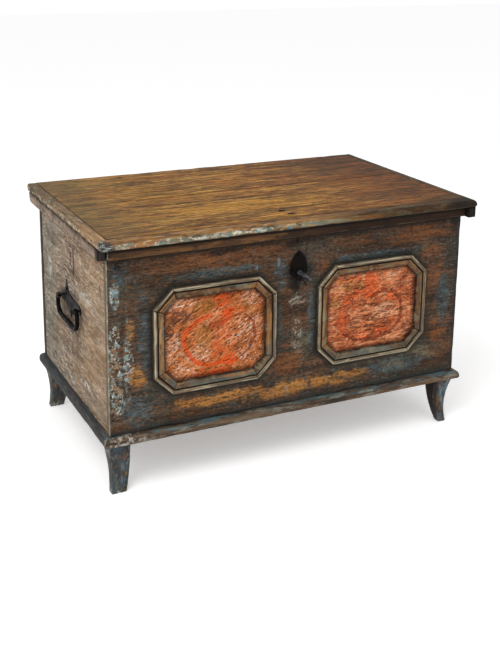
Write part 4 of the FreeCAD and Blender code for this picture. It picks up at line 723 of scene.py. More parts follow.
# Even brick red, with a two-lobed wreath and long thin cracks along the grain.
coat = Finish("right_field")
fibre, _, _, _, _ = coat.grain(38, 0.06, 150)
crack = (0.2, 1.4)
middle = coat.spots([(228, 350, 105, 60)])
lines = middle * coat.patches(120, 0.36, 0.05, 181, crack)
cracks = coat.patches(220, 0.38, 0.05, 185, crack)
coat.slant(0.35)
scratch = (0.5, 1, 1.2)
coat.shades(coat.patches(30, 0.5, 0.3, 141, scratch), {0: "a5532d", 0.5: "c4683c", 1: "db8c5e"})
coat.touch(coat.spots([(152, 448, 55, 30), (120, 405, 20, 30)], 0.8), "8b6a2e", 0.72, 70, 0.5, 0.12,
           143, scratch)
coat.touch(coat.spots([(325, 440, 40, 30), (215, 474, 30, 8), (340, 300, 20, 40)], 0.8), "6b3a2a",
           0.76, 70, 0.56, 0.14, 145, scratch)
coat.lay(coat.patches(110, 0.36, 0.07, 161, scratch), "7c3c22", 0.62)
edge = around_octagon(coat, 1).fade(-0.08, -0.05)
coat.touch(edge, "dea27c", 0.66, 110, 0.34, 0.08, 171, scratch)
coat.touch(coat.spots([(290, 452, 30, 20), (270, 365, 50, 30)], 0.6), "e3ab86", 0.66, 60, 0.56, 0.12,
           173, scratch)
coat.lay(coat.strokes(RIGHT_WREATH[2:6], 15), "8a3a1e", 0.5)
coat.touch(coat.strokes(RIGHT_WREATH[:6], 10), "de5f2a", 0.72, 110, 0.58, 0.18, 151)
dabs = coat.spots([(226, 450, 30, 40), (232, 418, 34, 22), (285, 400, 30, 16), (196, 302, 26, 14),
                   (255, 306, 34, 12), (170, 462, 40, 12)], 0.55)
coat.touch(dabs, "e05a22", 0.74, 90, 0.6, 0.18, 157, scratch)
coat.lay(coat.strokes(RIGHT_WREATH[5:], 6), "7a2f18", 0.8)
coat.lay(lines, "4a2413", 0.66)
coat.lay(cracks, "3c1c10", 0.72)
coat.lay(coat.patches(190, 0.34, 0.05, 189, scratch), "42200f", 0.66)
coat.lay(coat.patches(230, 0.25, 0.05, 187, scratch), "f0c39c", 0.5)
# Painted shade with dark patina along the field's edge, next to the raised moulding.
rim = around_octagon(coat, 1).fade(-0.045, -0.032)
coat.lay(rim, "35190f", 0.68)
height = fibre + lines * -1.2
coat.done(0.7, height, 0.001, shine=0.12)

# %% The front round the fields
coat = Finish("painted_front")
fibre, ring, streak, band, dash = coat.grain(38, 0.06, 150)
brush = (0.3, 1.5)
coat.shades(streak, {0: "3d2a1c", 0.4: "4f3725", 0.72: "62432c", 1: "745034"})
coat.lay(band, "38291d", 0.5)
coat.lay(coat.patches(8, 0.5, 0.2, 7, (0.7, 1.2)), "43443c", 0.72)
warm = coat.spots([(-240, 566, 220, 30), (320, 566, 220, 32), (410, 470, 50, 100), (-20, 270, 70, 60),
                   (445, 290, 40, 80), (-430, 300, 30, 60), (75, 505, 30, 30)])
coat.touch(warm, "7c4b28", 0.8, 22, 0.62, 0.22, 5, brush)
slate = coat.spots([(230, 520, 170, 14), (455, 370, 28, 90), (46, 370, 20, 110), (-413, 380, 22, 150),
                    (-200, 530, 190, 14), (-45, 500, 26, 50), (-430, 205, 60, 50), (-470, 560, 35, 35),
                    (300, 200, 160, 26), (-55, 380, 16, 100)])
coat.touch(slate, "435052", 0.84, 22, 0.66, 0.2, 11, (0.8, 1.1))
coat.touch(slate, "66777a", 0.5, 60, 0.36, 0.12, 13, (0.8, 1.1))
ochre = coat.spots([(-20, 190, 120, 22), (100, 190, 90, 20), (-200, 200, 160, 18), (160, 196, 90, 18),
                    (-446, 415, 20, 40), (-430, 290, 30, 30)], 0.9)
coat.touch(ochre, "b87b3a", 0.9, 30, 0.66, 0.18, 17, brush)
coat.touch(ochre, "cb9850", 0.6, 76, 0.32, 0.08, 19, brush)
coat.touch(coat.spots([(340, 216, 120, 30), (20, 300, 30, 60)], 0.8), "77705c", 0.66, 24, 0.56, 0.18,
           25, (0.6, 1.2))
# Black spots painted as shadow under the strip and round the lock's leaf and key.
black = coat.spots([(-475, 580, 25, 22), (4, 500, 48, 65), (-200, 580, 70, 10), (-10, 578, 40, 14),
                    (4, 520, 34, 45), (20, 480, 30, 30), (480, 575, 20, 30)])
coat.touch(black, "14110f", 0.86, 40, 0.66, 0.14, 21)
coat.lay(coat.patches(20, 0.32, 0.14, 23, brush), "271b14", 0.66)
coat.lay(fibre, "211711", 0.46)
coat.lay(dash, "1d140e", 0.5)
coat.lay(coat.patches(170, 0.34, 0.07, 29, (0.6, 1.2)) * coat.patches(7, 0.55, 0.15, 31),
         "66706c", 0.4)
coat.lay(coat.patches(140, 0.32, 0.08, 33, brush) * coat.x.fade(0.25, -0.15), "8a592f", 0.4)
coat.lay(coat.patches(190, 0.38, 0.06, 36, (0.5, 1.2)), "19110b", 0.62)
# Painted shadow of the key and its leaf: nearly black round the keyhole and below the key.
coat.lay(coat.spots([(2, 506, 30, 52), (-4, 462, 20, 20)]), "0e0d0c", 0.86)
# Dirt and painted shade just outside both octagonal mouldings.
dirt_and_shade_near_octagons = around_octagon(coat, -1).fade(0.018, 0.001) | around_octagon(coat, 1).fade(0.018, 0.001)
coat.lay(dirt_and_shade_near_octagons, "1d201e", 0.74)
# Painted shade under the strip: the front darkens towards its top.
coat.lay(coat.z.fade(RIM_Z - 0.05, RIM_Z - 0.03), "1c130e", 0.78)
coat.lay(coat.z.fade(WALL_Z + 0.022, WALL_Z + 0.002), "262a2a", 0.8)
coat.lay(coat.x.fade(SIDE_X - 0.016, SIDE_X - 0.004), "22272a", 0.75)
column = coat.spots([(-483, 400, 18, 70), (-484, 315, 22, 90), (-478, 235, 22, 50),
                     (-483, 510, 14, 40), (-452, 340, 14, 120)], 0.8)
faint = coat.spots([(0, 345, 18, 60), (6, 430, 30, 22)], 0.9)
coat.touch(column, "8d9c98", 0.74, 80, 0.44, 0.12, 37)
coat.touch(column, "dfe2da", 0.72, 170, 0.3, 0.06, 38)
coat.touch(faint, "a3a093", 0.66, 150, 0.42, 0.1, 42)
coat.touch(column, "8a6744", 0.72, 60, 0.36, 0.08, 39)
coat.lay(coat.spots([(-478, 513, 12, 14), (-112, 528, 4, 11), (-22, 190, 4, 14), (-52, 535, 6, 16)],
                    0.6), "72878d", 0.46)
strip = coat.y.fade(FRONT_Y - 0.002, FRONT_Y - 0.004)
coat.lay(strip, "553c29", 0.92)
coat.touch(strip, "75512f", 0.75, 20, 0.46, 0.1, 43, brush)
coat.touch(strip, "2a1e16", 0.75, 26, 0.4, 0.08, 47, brush)
coat.lay(strip * coat.x.fade(-0.12, 0.16), "1f1007", 0.88)
# Painted shadow under the lid's rounded edge, across the top of the strip.
coat.lay(strip * coat.z.fade(RIM_Z - 0.0125, RIM_Z - 0.0085), "0d0906", 0.92)
coat.lay(strip * fibre, "261a12", 0.45)
end = abs(coat.x).fade(SIDE_X - 0.0018, SIDE_X - 0.0006)
coat.lay(end * coat.z.fade(RIM_Z - 0.03, RIM_Z - 0.04), "7f8378", 0.85)
coat.touch(end, "b3b7aa", 0.6, 34, 0.42, 0.06, 53)
inner_face = coat.y.fade(FRONT_Y + 0.006, FRONT_Y + 0.01)
coat.lay(inner_face, "7c6144")
coat.lay(inner_face * ring, "5d452d", 0.5)
coat.lay(inner_face * fibre, "5f4830", 0.4)
coat.touch(coat.worn.fade(0.3, 0.85), "7a6b58", 0.4, 30, 0.5, 0.1, 59)
coat.done(0.7, fibre, 0.0009, shine=0.14)

# %% [markdown]
# ## Mouldings, base and bare wood
#
# The octagonal mouldings are two strips in one: a narrow pale bead outside with painted highlights
# along its edges, then a groove painted near black as shade, and a wide brown fillet that turns
# grey-blue on its lower side. The mitres are dark, and painted shade darkens the fillet's inner edge
# along the fields. The base frame is brown with teal remains on top, and black-grey on the left
# end. The feet are slate grey over brown, and the inner faces of the right feet are painted dark as
# shade. Inside, the boards were never painted.

# %% Finish of the octagonal mouldings
wood = Finish("moulding_wood")
fibre, _, streak, band, _ = wood.grain(70, 0.05, 210)
along = (0.3, 1.6)
outside = around_octagon(wood, -1) & around_octagon(wood, 1)
wood.shades(streak, {0: "5f442d", 0.5: "7f5d3f", 1: "a37f57"})
low_side = wood.z.fade(OCTAGON_Z - 0.085, OCTAGON_Z - 0.105) | (wood.x + OCTAGON_X).fade(0.118, 0.136) * (
    wood.x.fade(0, -0.01) * wood.z.fade(OCTAGON_Z - 0.03, OCTAGON_Z - 0.07))
fillet = outside.fade(-0.0125, -0.014)
wood.lay(low_side * fillet, "5a6660", 0.78)
wood.lay(band, "4c3722", 0.45)
wood.touch(fillet, "5a3b24", 0.76, 30, 0.46, 0.08, 3, along)
wood.touch(fillet, "4a5b5b", 0.66, 30, 0.32, 0.07, 7, along)
wood.touch(fillet * wood.x.fade(0.2, 0), "a56f3a", 0.6, 30, 0.38, 0.08, 9, along)
bead = outside.fade(-0.0125, -0.0105)
wood.lay(bead, "746653", 0.84)
wood.touch(bead, "b0a488", 0.7, 40, 0.42, 0.08, 11, along)
wood.touch(bead, "473b2c", 0.72, 34, 0.38, 0.08, 13, along)
# Painted highlights: thin light lines along both edges of the bead.
wear_and_painted_highlight = outside.fade(-0.0022, -0.0032) * outside.fade(-0.006, -0.0046)
wood.touch(wear_and_painted_highlight, "cbc2a8", 0.62, 26, 0.52, 0.14, 15, along)
wood.lay(outside.fade(-0.0022, -0.0004), "1f1d18", 0.82)
# Painted shade: the groove between bead and fillet is made near black.
shaded_groove = outside.fade(-0.015, -0.014) * outside.fade(-0.0094, -0.0106)
wood.lay(shaded_groove, "120e0a", 0.94)
# Painted shade at the fillet's inner edge, where it drops to the field.
wood.lay(outside.fade(-0.0272, -0.0292), "180f0a", 0.88)
wood.lay(fibre, "2c1e13", 0.42)
wood.touch(wood.worn.fade(0.55, 1), "9c8f70", 0.36, 40, 0.5, 0.1, 17)
wood.done(0.68, fibre, 0.0006, shine=0.14)

# %% Finish of the base frame and the feet
wood = Finish("base_wood")
fibre, _, streak, band, _ = wood.grain(46, 0.08, 160)
along = (0.35, 1.6)
wood.shades(streak, {0: "4c3d30", 0.5: "675443", 1: "7d6750"})
wood.lay(band, "382e26", 0.5)
wood.touch(wood.z.fade(0.1395, 0.1465), "4d666b", 0.85, 20, 0.56, 0.1, 3, along)
wood.touch(wood.z.fade(0.1395, 0.133), "7a5238", 0.62, 22, 0.42, 0.1, 7, along)
wood.lay(wood.patches(34, 0.3, 0.06, 11, along), "8b8b7e", 0.62)
wood.lay(wood.patches(26, 0.36, 0.07, 13, along), "272420", 0.74)
left_end = wood.x.fade(-SIDE_X + 0.004, -SIDE_X - 0.002) * wood.y.fade(-0.275, -0.255)
wood.lay(left_end, "35373a", 0.86)
wood.touch(left_end, "55595a", 0.7, 30, 0.4, 0.08, 15, along)
wood.touch(wood.spot((-0.47, -0.3, 0.14), (0.09, 0.04, 0.03), 0.8), "b9b0a5", 0.74, 60, 0.46, 0.08, 16)
foot = wood.z.fade(0.1275, 0.1262)
wood.lay(foot, "43474a", 0.86)
wood.touch(foot, "2a2c30", 0.78, 26, 0.46, 0.1, 17, along)
wood.touch(foot, "8a5f38", 0.7, 40, 0.3, 0.07, 19, (0.8, 1.4))
wood.touch(foot, "6f6c40", 0.6, 50, 0.28, 0.07, 20, (0.8, 1.4))
wood.touch(foot, "3d5560", 0.66, 24, 0.4, 0.09, 22, (0.8, 1.4))
wood.touch(foot, "70777a", 0.62, 54, 0.34, 0.07, 21, (0.8, 1.4))
wood.touch(foot * wood.z.fade(0.02, 0), "b8b2a6", 0.7, 60, 0.44, 0.08, 25)
wood.touch(foot * wood.x.fade(0.1, 0.4), "76868c", 0.7, 18, 0.56, 0.16, 27, (0.8, 1.4))
left_face = foot * wood.x.fade(-0.496, -0.506)
wood.lay(left_face, "a9aca6", 0.72)
# Painted shade: the inner faces of the right feet, under the chest, are made dark.
inner = foot * (wood.x.fade(0.47, 0.452) * wood.x.fade(0.2, 0.3))
wood.lay(inner, "24150c", 0.92)
wood.touch(wood.worn.fade(0.3, 0.85), "958c78", 0.55, 34, 0.5, 0.1, 23)
wood.lay(fibre, "1f1b17", 0.42)
wood.done(0.7, fibre, 0.0009, shine=0.14)

# %% Finish of the bare boards
wood = Finish("bare_wood")
fibre, ring, streak, band, dash = wood.grain(22, 0.2, 120)
wood.shades(streak, {0: "6d5138", 0.5: "836549", 1: "997a5b"})
wood.lay(ring, "5a412b", 0.55)
wood.lay(band, "60462f", 0.4)
wood.lay(fibre, "45321f", 0.6)
wood.lay(dash, "3b2a1b", 0.45)
wood.lay(wood.patches(60, 0.3, 0.07, 5, (0.25, 2.2)), "b3946f", 0.4)
wood.lay(wood.patches(7, 0.4, 0.2, 3), "6b5642", 0.55)
wood.lay(wood.patches(14, 0.26, 0.1, 7), "46362a", 0.5)
wood.lay(wood.worn.fade(0.35, 0.9), "9c8467", 0.35)
wood.lay(abs(wood.x).fade(SIDE_X - 0.006, SIDE_X - 0.001), "1e1914", 0.88)
wood.done(0.76, fibre, 0.0009, shine=0.2)

# %% [markdown]
# ## Iron
#
# The ironwork was forged, blacked with oil and left to rust slowly. It is nearly black, with brown
# in the hollows, and the edges that hands have rubbed are painted lighter, as wear and as a
# painted highlight. The lock's works were filed and stay greyer.

# %% Finish of the iron
def iron_finish(name, dark, light, wear_and_painted_highlight, rust_share, rough, gloss):
    iron = Finish(name)
    dents, rust = iron.use("hammer_marks", {"Vector": iron.place})
    iron.shades(dents, {0: dark, 1: light})
    iron.lay(rust, "2a1810", rust_share)
    iron.lay(iron.patches(160, 0.3, 0.08, 3), "0e0c0b", 0.55)
    # Edges lighter: wear, and also a painted highlight.
    iron.lay(iron.worn.fade(0.78, 1.05), wear_and_painted_highlight, 0.5)
    roughness = put(iron.tree, "MapRange", {"Value": rust, "To Min": rough, "To Max": 0.8})
    iron.done(roughness, dents, 0.001, shine=gloss)


iron_finish("black_iron", "040303", "100e0d", "8a827c", 0.30, 0.40, 0.04)
iron_finish("lock_iron", "1a191c", "4b4a50", "b5b3ba", 0.30, 0.28, 0.34)

# %% [markdown]
# ## Dressing the solids
#
# Each solid knows the name of the finish that it was meant to have. The finish goes into its
# material slot, so that even a piece that nobody models anew is not left plain.

# %% Give every solid its finish
SLOT_OF = {}
for node, solid in frame["nodes"].items():
    for place in solid.material_slots:
        SLOT_OF[node] = place.material.name.split(".")[0]
        place.material = FINISHES[SLOT_OF[node]]
print("dressed", len(SLOT_OF), "solids")

# %% [markdown]
# ## Modelling worn wood
#
# A new board is perfect, and an old one is not: its edges are rounded unevenly, bits have broken
# off, and its faces are slightly hollow where the soft wood has gone. Each board is therefore made
# as a joiner makes it, and then worn. It starts as a cube stretched to the solid's box. Its long
# edges are rounded, its ends are mitred by cutting with a plane, and all sharp edges are broken.
# Then it is cut into small cells, so that there are points to move, and every point goes inwards
# by an amount that noise decides: a little on the faces, more at the edges, and a lot at a few
# chips. Nothing moves outwards, so the piece stays inside the space of its solid.

# %% Start a shape
NEAR = 0.001
AXES = {"x": Vector((1, 0, 0)), "y": Vector((0, 1, 0)), "z": Vector((0, 0, 1))}


def only(kind, items):
    """The items of one kind, among those that an operator gives back."""
    return [item for item in items if isinstance(item, kind)]


def cube_between(low, high):
    """A box as a new bmesh, from its lowest to its highest corner."""
    shape = bmesh.new()
    bmesh.ops.create_cube(shape, size=1)
    bmesh.ops.scale(shape, vec=Vector(high) - Vector(low), verts=shape.verts)
    bmesh.ops.translate(shape, vec=(Vector(low) + Vector(high)) / 2, verts=shape.verts)
    return shape


trial = cube_between((0, 0, 0), (1, 2, 3))
print("a box has", len(trial.verts), "points")

# %% Cut, round and divide
def bevel(shape, edges, width, segments):
    bmesh.ops.bevel(shape, geom=edges, offset=width, offset_type="OFFSET", segments=segments, profile=0.5,
                    affect="EDGES", material=-1, clamp_overlap=True)


def round_edges(shape, wanted, radius, segments=3):
    """Rounds the edges that a test picks out, given each edge's middle and its direction."""
    picked = []
    for edge in shape.edges:
        start, end = (point.co for point in edge.verts)
        if wanted((start + end) / 2, (end - start).normalized()):
            picked.append(edge)
    bevel(shape, picked, radius, segments)


def break_edges(shape, radius, segments=2, sharper_than=35):
    """Takes the sharpness off every edge that is bent by more than an angle."""
    limit = math.radians(sharper_than)
    sharp = [edge for edge in shape.edges if len(edge.link_faces) == 2 and edge.calc_face_angle(0) > limit]
    bevel(shape, sharp, radius, segments)


def cut_at(shape, point, normal, **more):
    """Cuts a shape with a plane and keeps both sides."""
    everything = shape.verts[:] + shape.edges[:] + shape.faces[:]
    return bmesh.ops.bisect_plane(shape, geom=everything, plane_co=point, plane_no=normal, **more)["geom_cut"]


def cut_across(shape, *places):
    """Cuts a shape square to an axis, at one or more places such as ("x", 0.2)."""
    for axis, place in places:
        cut_at(shape, AXES[axis] * place, AXES[axis])


def cut_away(shape, point, normal):
    """Cuts a shape with a plane, drops the side that the normal points to, and closes the cut."""
    rim = cut_at(shape, point, normal, clear_outer=True)
    bmesh.ops.contextual_create(shape, geom=only(bmesh.types.BMEdge, rim))


def slice_along(shape, run, cell):
    """Cuts a shape across a direction with evenly spaced planes."""
    run = run.normalized()
    places = [point.co.dot(run) for point in shape.verts]
    low, high = min(places), max(places)
    count = max(1, round((high - low) / cell))
    for step in range(1, count):
        cut_at(shape, run * (low + (high - low) * step / count), run)


def into_cells(shape, cell):
    """Slices a shape along all three axes."""
    for run in AXES.values():
        slice_along(shape, run, cell)


break_edges(trial, 0.1)
into_cells(trial, 0.5)
print("with broken edges and in cells it has", len(trial.verts))
trial.free()

# %% [markdown]
# Wear needs to know where the edges are. Every point gets a number from the sharpest convex edge
# that meets there, and the number is spread to its neighbours, falling off with each step. The
# same number is kept on the piece, so that its finish can rub the colour off where the wood is
# worn.

# %% Wear a shape
FULLY_SHARP = math.radians(40)


def edge_wear(shape, spread):
    """How exposed each point is, from 0 on a flat face to 1 on a sharp convex edge."""
    worn = [0.0] * len(shape.verts)
    for edge in shape.edges:
        if len(edge.link_faces) == 2:
            sharp = max(0.0, edge.calc_face_angle_signed(0)) / FULLY_SHARP
            for point in edge.verts:
                worn[point.index] = max(worn[point.index], min(1.0, sharp))
    for _ in range(spread):
        before = worn[:]
        for point in shape.verts:
            around = [before[edge.other_vert(point).index] for edge in point.link_edges]
            worn[point.index] = max(before[point.index], 0.5 * max(around, default=0.0))
    return worn


def finish_piece(shape, node, seed, along="x", face_wear=0.00035, edge_loss=0.0012, chip=0.0030, spread=2,
                 dent=0.0, how="worn"):
    """Wears a shape, stores its grain and wear, and puts it in place of its solid."""
    shape.normal_update()
    bmesh.ops.recalc_face_normals(shape, faces=shape.faces)
    shape.verts.index_update()
    shape.normal_update()
    worn = edge_wear(shape, spread)
    worn_layer = shape.verts.layers.float.new("worn")
    grain_layer = shape.verts.layers.float_vector.new("grain_at")
    run = AXES[along] if isinstance(along, str) else along
    beside = run.cross(AXES["z" if abs(run.z) < 0.5 else "y"])
    beyond = run.cross(beside)
    offset = Vector((seed * 1.37, seed * 0.61, seed * 0.29))
    lowest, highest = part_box(node)
    moved = []
    for point in shape.verts:
        here = point.co + offset
        exposed = worn[point.index]
        in_grain = Vector((here.dot(run), here.dot(beside), here.dot(beyond)))
        stretched = Vector((in_grain.x * 6, in_grain.y * 30, in_grain.z * 30))
        face_part = face_wear * (0.6 + 0.4 * noise.noise(stretched))
        edge_part = edge_loss * exposed * (0.35 + 0.65 * abs(noise.noise(here * 38)))
        bite = max(0.0, noise.noise(here * 21) - 0.22) * 3.2
        chip_part = chip * exposed * exposed * min(1.0, bite)
        dent_part = dent * max(0.0, noise.noise(here * 95) + 0.25)
        wear_and_painted_highlight = exposed * (0.75 + 0.5 * noise.noise(here * 30)) + 0.25 * min(1.0, bite) * exposed
        point[worn_layer] = min(1.0, wear_and_painted_highlight)
        point[grain_layer] = in_grain
        target = point.co - point.normal * (face_part + edge_part + chip_part + dent_part)
        moved.append([min(max(target[i], lowest[i]), highest[i]) for i in range(3)])
    for point, target in zip(shape.verts, moved):
        point.co = target
    for face in shape.faces:
        face.smooth = True
    solid = frame["nodes"][node]
    piece = into_scene(shape, f"{node}_{how}", solid.material_slots[0].material)
    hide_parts(node)
    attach(piece, solid["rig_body"])
    print(piece.name, len(piece.data.polygons), "faces")
    return piece


print("ready to wear pieces for", len(frame["nodes"]), "solids")

# %% [markdown]
# ## Case boards
#
# Four inch-thick boards make the case. Each is a plain box with broken edges. The front board has
# a hole for the key, cut as a mouth: the faces in front of and behind the hole go, and their rims
# are bridged. It is hidden by the iron leaf, but a look through the keyhole then meets the dark.

# %% Boards with plain edges
def plain_board(node, seed, along="x", cell=0.009, radius=0.0016):
    """A worn board in the box of its solid."""
    shape = cube_between(*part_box(node))
    break_edges(shape, radius)
    into_cells(shape, cell)
    finish_piece(shape, node, seed, along)


plain_board("back_board", 3)
plain_board("left_side_board", 4, "y")
plain_board("right_side_board", 5, "y")
for seed, node in enumerate(("bottom_board_front", "bottom_board_rear", "base_back_rail"), 11):
    plain_board(node, seed, cell=0.016)

# %% The front board and its keyhole
leaf_low, leaf_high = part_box("escutcheon")
KEY_X = (leaf_low.x + leaf_high.x) / 2
MOUTH_Z, MOUTH_HALF, MOUTH_DOWN, MOUTH_UP = 0.502, 0.004, 0.014, 0.004


def field_at(point):
    """1 in the left octagon, 2 in the right one, 0 outside. The change is under the moulding."""
    for number, side in ((1, -1), (2, 1)):
        across = abs(point.x - side * OCTAGON_X) - HALF_WIDE
        up = abs(point.z - OCTAGON_Z) - HALF_TALL
        if max(across, up, (across + up + CORNER) * 0.70711) < -BAND / 2:
            return number
    return 0


def front_board():
    shape = cube_between(front_low, front_high)
    break_edges(shape, 0.0018)
    left, right = KEY_X - MOUTH_HALF, KEY_X + MOUTH_HALF
    bottom, top = MOUTH_Z - MOUTH_DOWN, MOUTH_Z + MOUTH_UP
    cut_across(shape, ("x", left), ("x", right), ("z", bottom), ("z", top))
    mouth = [face for face in shape.faces if left < face.calc_center_median().x < right
             and bottom < face.calc_center_median().z < top]
    rims = list({edge for face in mouth for edge in face.edges})
    bmesh.ops.delete(shape, geom=mouth, context="FACES_ONLY")
    bmesh.ops.bridge_loops(shape, edges=[edge for edge in rims if len(edge.link_faces) == 1])
    into_cells(shape, 0.0085)
    for face in shape.faces:
        middle = face.calc_center_median()
        if middle.y < FRONT_Y + NEAR:
            face.material_index = field_at(middle)
    return finish_piece(shape, "front_board", 1, face_wear=0.0005)


board = front_board()
for field in ("left_field", "right_field"):
    board.data.materials.append(FINISHES[field])

# %% [markdown]
# The strip under the lid is a lath with its lower front edge rounded.

# %% The strip under the lid
low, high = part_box("front_top_moulding")
strip = cube_between(low, high)
round_edges(strip, lambda m, d: abs(d.x) > 0.9 and m.y < low.y + NEAR and m.z < low.z + NEAR, 0.004)
break_edges(strip, 0.0012)
into_cells(strip, 0.007)
finish_piece(strip, "front_top_moulding", 17, chip=0.0040)

# %% [markdown]
# ## The lid
#
# Two planks lie side by side. The edging round them is rounded above and below and mitred at the
# front corners, and a cleat is nailed under each end. The rear plank is housed from below for the
# hinge leaves: two cuts a hair apart mark each side of a housing, and the points between them are
# pushed up by the leaf's thickness.

# %% Lid planks
HAIR, LEAF_DEEP = 0.0002, 0.0032


def rear_plank():
    low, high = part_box("lid_board_rear")
    shape = cube_between(low, high)
    break_edges(shape, 0.0014)
    for hand in ("left", "right"):
        leaf_low, leaf_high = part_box(f"{hand}_hinge_lid_leaf")
        x0, x1, y0 = leaf_low.x - HAIR, leaf_high.x + HAIR, leaf_low.y - HAIR
        cut_across(shape, ("x", x0 - HAIR), ("x", x0), ("x", x1), ("x", x1 + HAIR))
        cut_across(shape, ("y", y0 - HAIR), ("y", y0))
        housed = [point for point in shape.verts if x0 - HAIR / 2 < point.co.x < x1 + HAIR / 2
                  and point.co.y > y0 - HAIR / 2 and point.co.z < low.z + 0.0025]
        bmesh.ops.translate(shape, vec=(0, 0, LEAF_DEEP), verts=housed)
    into_cells(shape, 0.0085)
    finish_piece(shape, "lid_board_rear", 23)


rear_plank()
plain_board("lid_board_front", 22, cell=0.008, radius=0.0014)


# %% Mitred edging
def edging(node, seed, along, rounds, outer, mitres, cell):
    """A length rounded above and below. outer tests a point, mitres are planes to cut with."""
    low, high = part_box(node)
    run = AXES[along]
    shape = cube_between(low, high)
    round_edges(shape, lambda m, d: abs(d.dot(run)) > 0.9 and outer(m) and m.z > high.z - NEAR, rounds[0], 5)
    round_edges(shape, lambda m, d: abs(d.dot(run)) > 0.9 and outer(m) and m.z < low.z + NEAR, rounds[1], 3)
    for point, normal in mitres:
        cut_away(shape, point, normal)
    break_edges(shape, 0.0010, 2, 50)
    into_cells(shape, cell)
    finish_piece(shape, node, seed, along, edge_loss=0.0010, chip=0.0045)


def mitred_lengths(pattern, seed, front, out_x, across, rounds, cell=0.0065):
    """Three lengths. front holds the front's Y outside and inside, across is a mitre's width."""
    mitres = {side: ((side * out_x, front[0], 0), Vector((side * (front[1] - front[0]), across, 0)))
              for side in (-1, 1)}
    edging(pattern.format("front"), seed, "x", rounds[0], lambda m: m.y < front[0] + NEAR,
           mitres.values(), cell)
    for number, (hand, side) in enumerate((("left", -1), ("right", 1))):
        point, normal = mitres[side]
        edging(pattern.format(hand), seed + 2 + number, "y", rounds[1 + number],
               lambda m: side * m.x > out_x - NEAR, [(point, -normal)], cell)


OUT_X = nose_high.x
mitred_lengths("lid_{}_edging", 27, (nose_low.y, FRONT_Y), OUT_X, OUT_X - SIDE_X,
               ((0.011, 0.005), (0.007, 0.003), (0.010, 0.008)))

# %% Cleats
def cleat(node, side, seed):
    low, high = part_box(node)
    shape = cube_between(low, high)
    under = low.z + NEAR
    round_edges(shape, lambda m, d: abs(d.x) > 0.9 and m.y > high.y - NEAR and m.z < under, 0.019, 5)
    round_edges(shape, lambda m, d: abs(d.y) > 0.9 and side * m.x > OUT_X - NEAR and m.z < under, 0.017, 5)
    round_edges(shape, lambda m, d: abs(d.x) > 0.9 and m.y < low.y + NEAR and m.z < under, 0.008, 4)
    break_edges(shape, 0.0012, 2, 50)
    into_cells(shape, 0.0065)
    finish_piece(shape, node, seed, "y", chip=0.0040)


cleat("lid_left_cleat", -1, 33)
cleat("lid_right_cleat", 1, 35)

# %% [markdown]
# ## The octagonal mouldings
#
# A joiner planes one long moulding and cuts eight lengths from it with mitred ends. Here the end
# outline of the moulding is drawn with a few points, its bead is rounded, and it is pulled out
# along the length. Two planes through the octagon's corners then cut the mitres. Between two
# lengths the joint has opened by a hair, and dirt has gone in, so the mitres show as dark lines.

# %% One length of moulding
FILLET_IN, GROOVE_OUT, GROOVE_IN = 0.0310, 0.0110, 0.0135
BEAD_UP, FILLET_UP, FILLET_LOW, GROOVE_UP = 0.0116, 0.0100, 0.0070, 0.0050
MITRE_GAP = 0.00025
PROFILE = [(0, 0), (FILLET_IN, 0), (FILLET_IN, FILLET_LOW), (GROOVE_IN, FILLET_UP), (GROOVE_IN, GROOVE_UP),
           (GROOVE_OUT, GROOVE_UP), (GROOVE_OUT, BEAD_UP), (0, BEAD_UP)]


def moulding_length(start, end, inward):
    """The bar between two corners of an octagon, a little too long, before its mitres are cut."""
    run = (end - start).normalized()
    spare = FILLET_IN
    shape = bmesh.new()
    corners = [shape.verts.new(start - run * spare + a * inward + b * Vector((0, -1, 0))) for a, b in PROFILE]
    grown = bmesh.ops.extrude_face_region(shape, geom=[shape.faces.new(corners)])["geom"]
    length = (end - start).length + 2 * spare
    bmesh.ops.translate(shape, vec=run * length, verts=only(bmesh.types.BMVert, grown))
    bmesh.ops.recalc_face_normals(shape, faces=shape.faces)
    bead_top = FRONT_Y - BEAD_UP + 0.0001
    round_edges(shape, lambda m, d: abs(d.dot(run)) > 0.9 and m.y < bead_top, 0.0044, 4)
    return shape, run


print("the moulding's outline has", len(PROFILE), "corners")

# %% Sixteen lengths round two fields
PLACES = ("bottom", "lower_right", "right", "upper_right", "top", "upper_left", "left", "lower_left")


def octagon_lengths(hand, side):
    """The eight lengths round one field, each worn and in place of its solid."""
    centre = Vector((side * OCTAGON_X, FRONT_Y, OCTAGON_Z))
    wide, tall = HALF_WIDE - CORNER, HALF_TALL - CORNER
    corners = [centre + Vector((x, 0, z)) for x, z in (
        (-wide, -HALF_TALL), (wide, -HALF_TALL), (HALF_WIDE, -tall), (HALF_WIDE, tall),
        (wide, HALF_TALL), (-wide, HALF_TALL), (-HALF_WIDE, tall), (-HALF_WIDE, -tall))]
    ends = [(corners[i], corners[(i + 1) % 8]) for i in range(8)]
    runs = [(end - start).normalized() for start, end in ends]
    inwards = [Vector((-run.z, 0, run.x)) for run in runs]
    for i, place in enumerate(PLACES):
        start, end = ends[i]
        shape, run = moulding_length(start, end, inwards[i])
        for corner, other, way in ((start, inwards[i - 1], -1), (end, inwards[(i + 1) % 8], 1)):
            mitre = (inwards[i] + other).normalized()
            cut = (run * way - mitre * (run * way).dot(mitre)).normalized()
            cut_away(shape, corner - cut * MITRE_GAP, cut)
        break_edges(shape, 0.0005, 1, 40)
        slice_along(shape, run, 0.007)
        finish_piece(shape, f"{hand}_octagon_{place}", 41 + i + 8 * side, run, 0.0003, 0.0007, 0.0022, 1)


octagon_lengths("left", -1)
octagon_lengths("right", 1)

# %% [markdown]
# ## The base frame
#
# The base moulding is a board laid flat under the case, with its outer top edge rounded. The front
# length meets the two end lengths in mitres at the corners, where knocks have bruised it most.

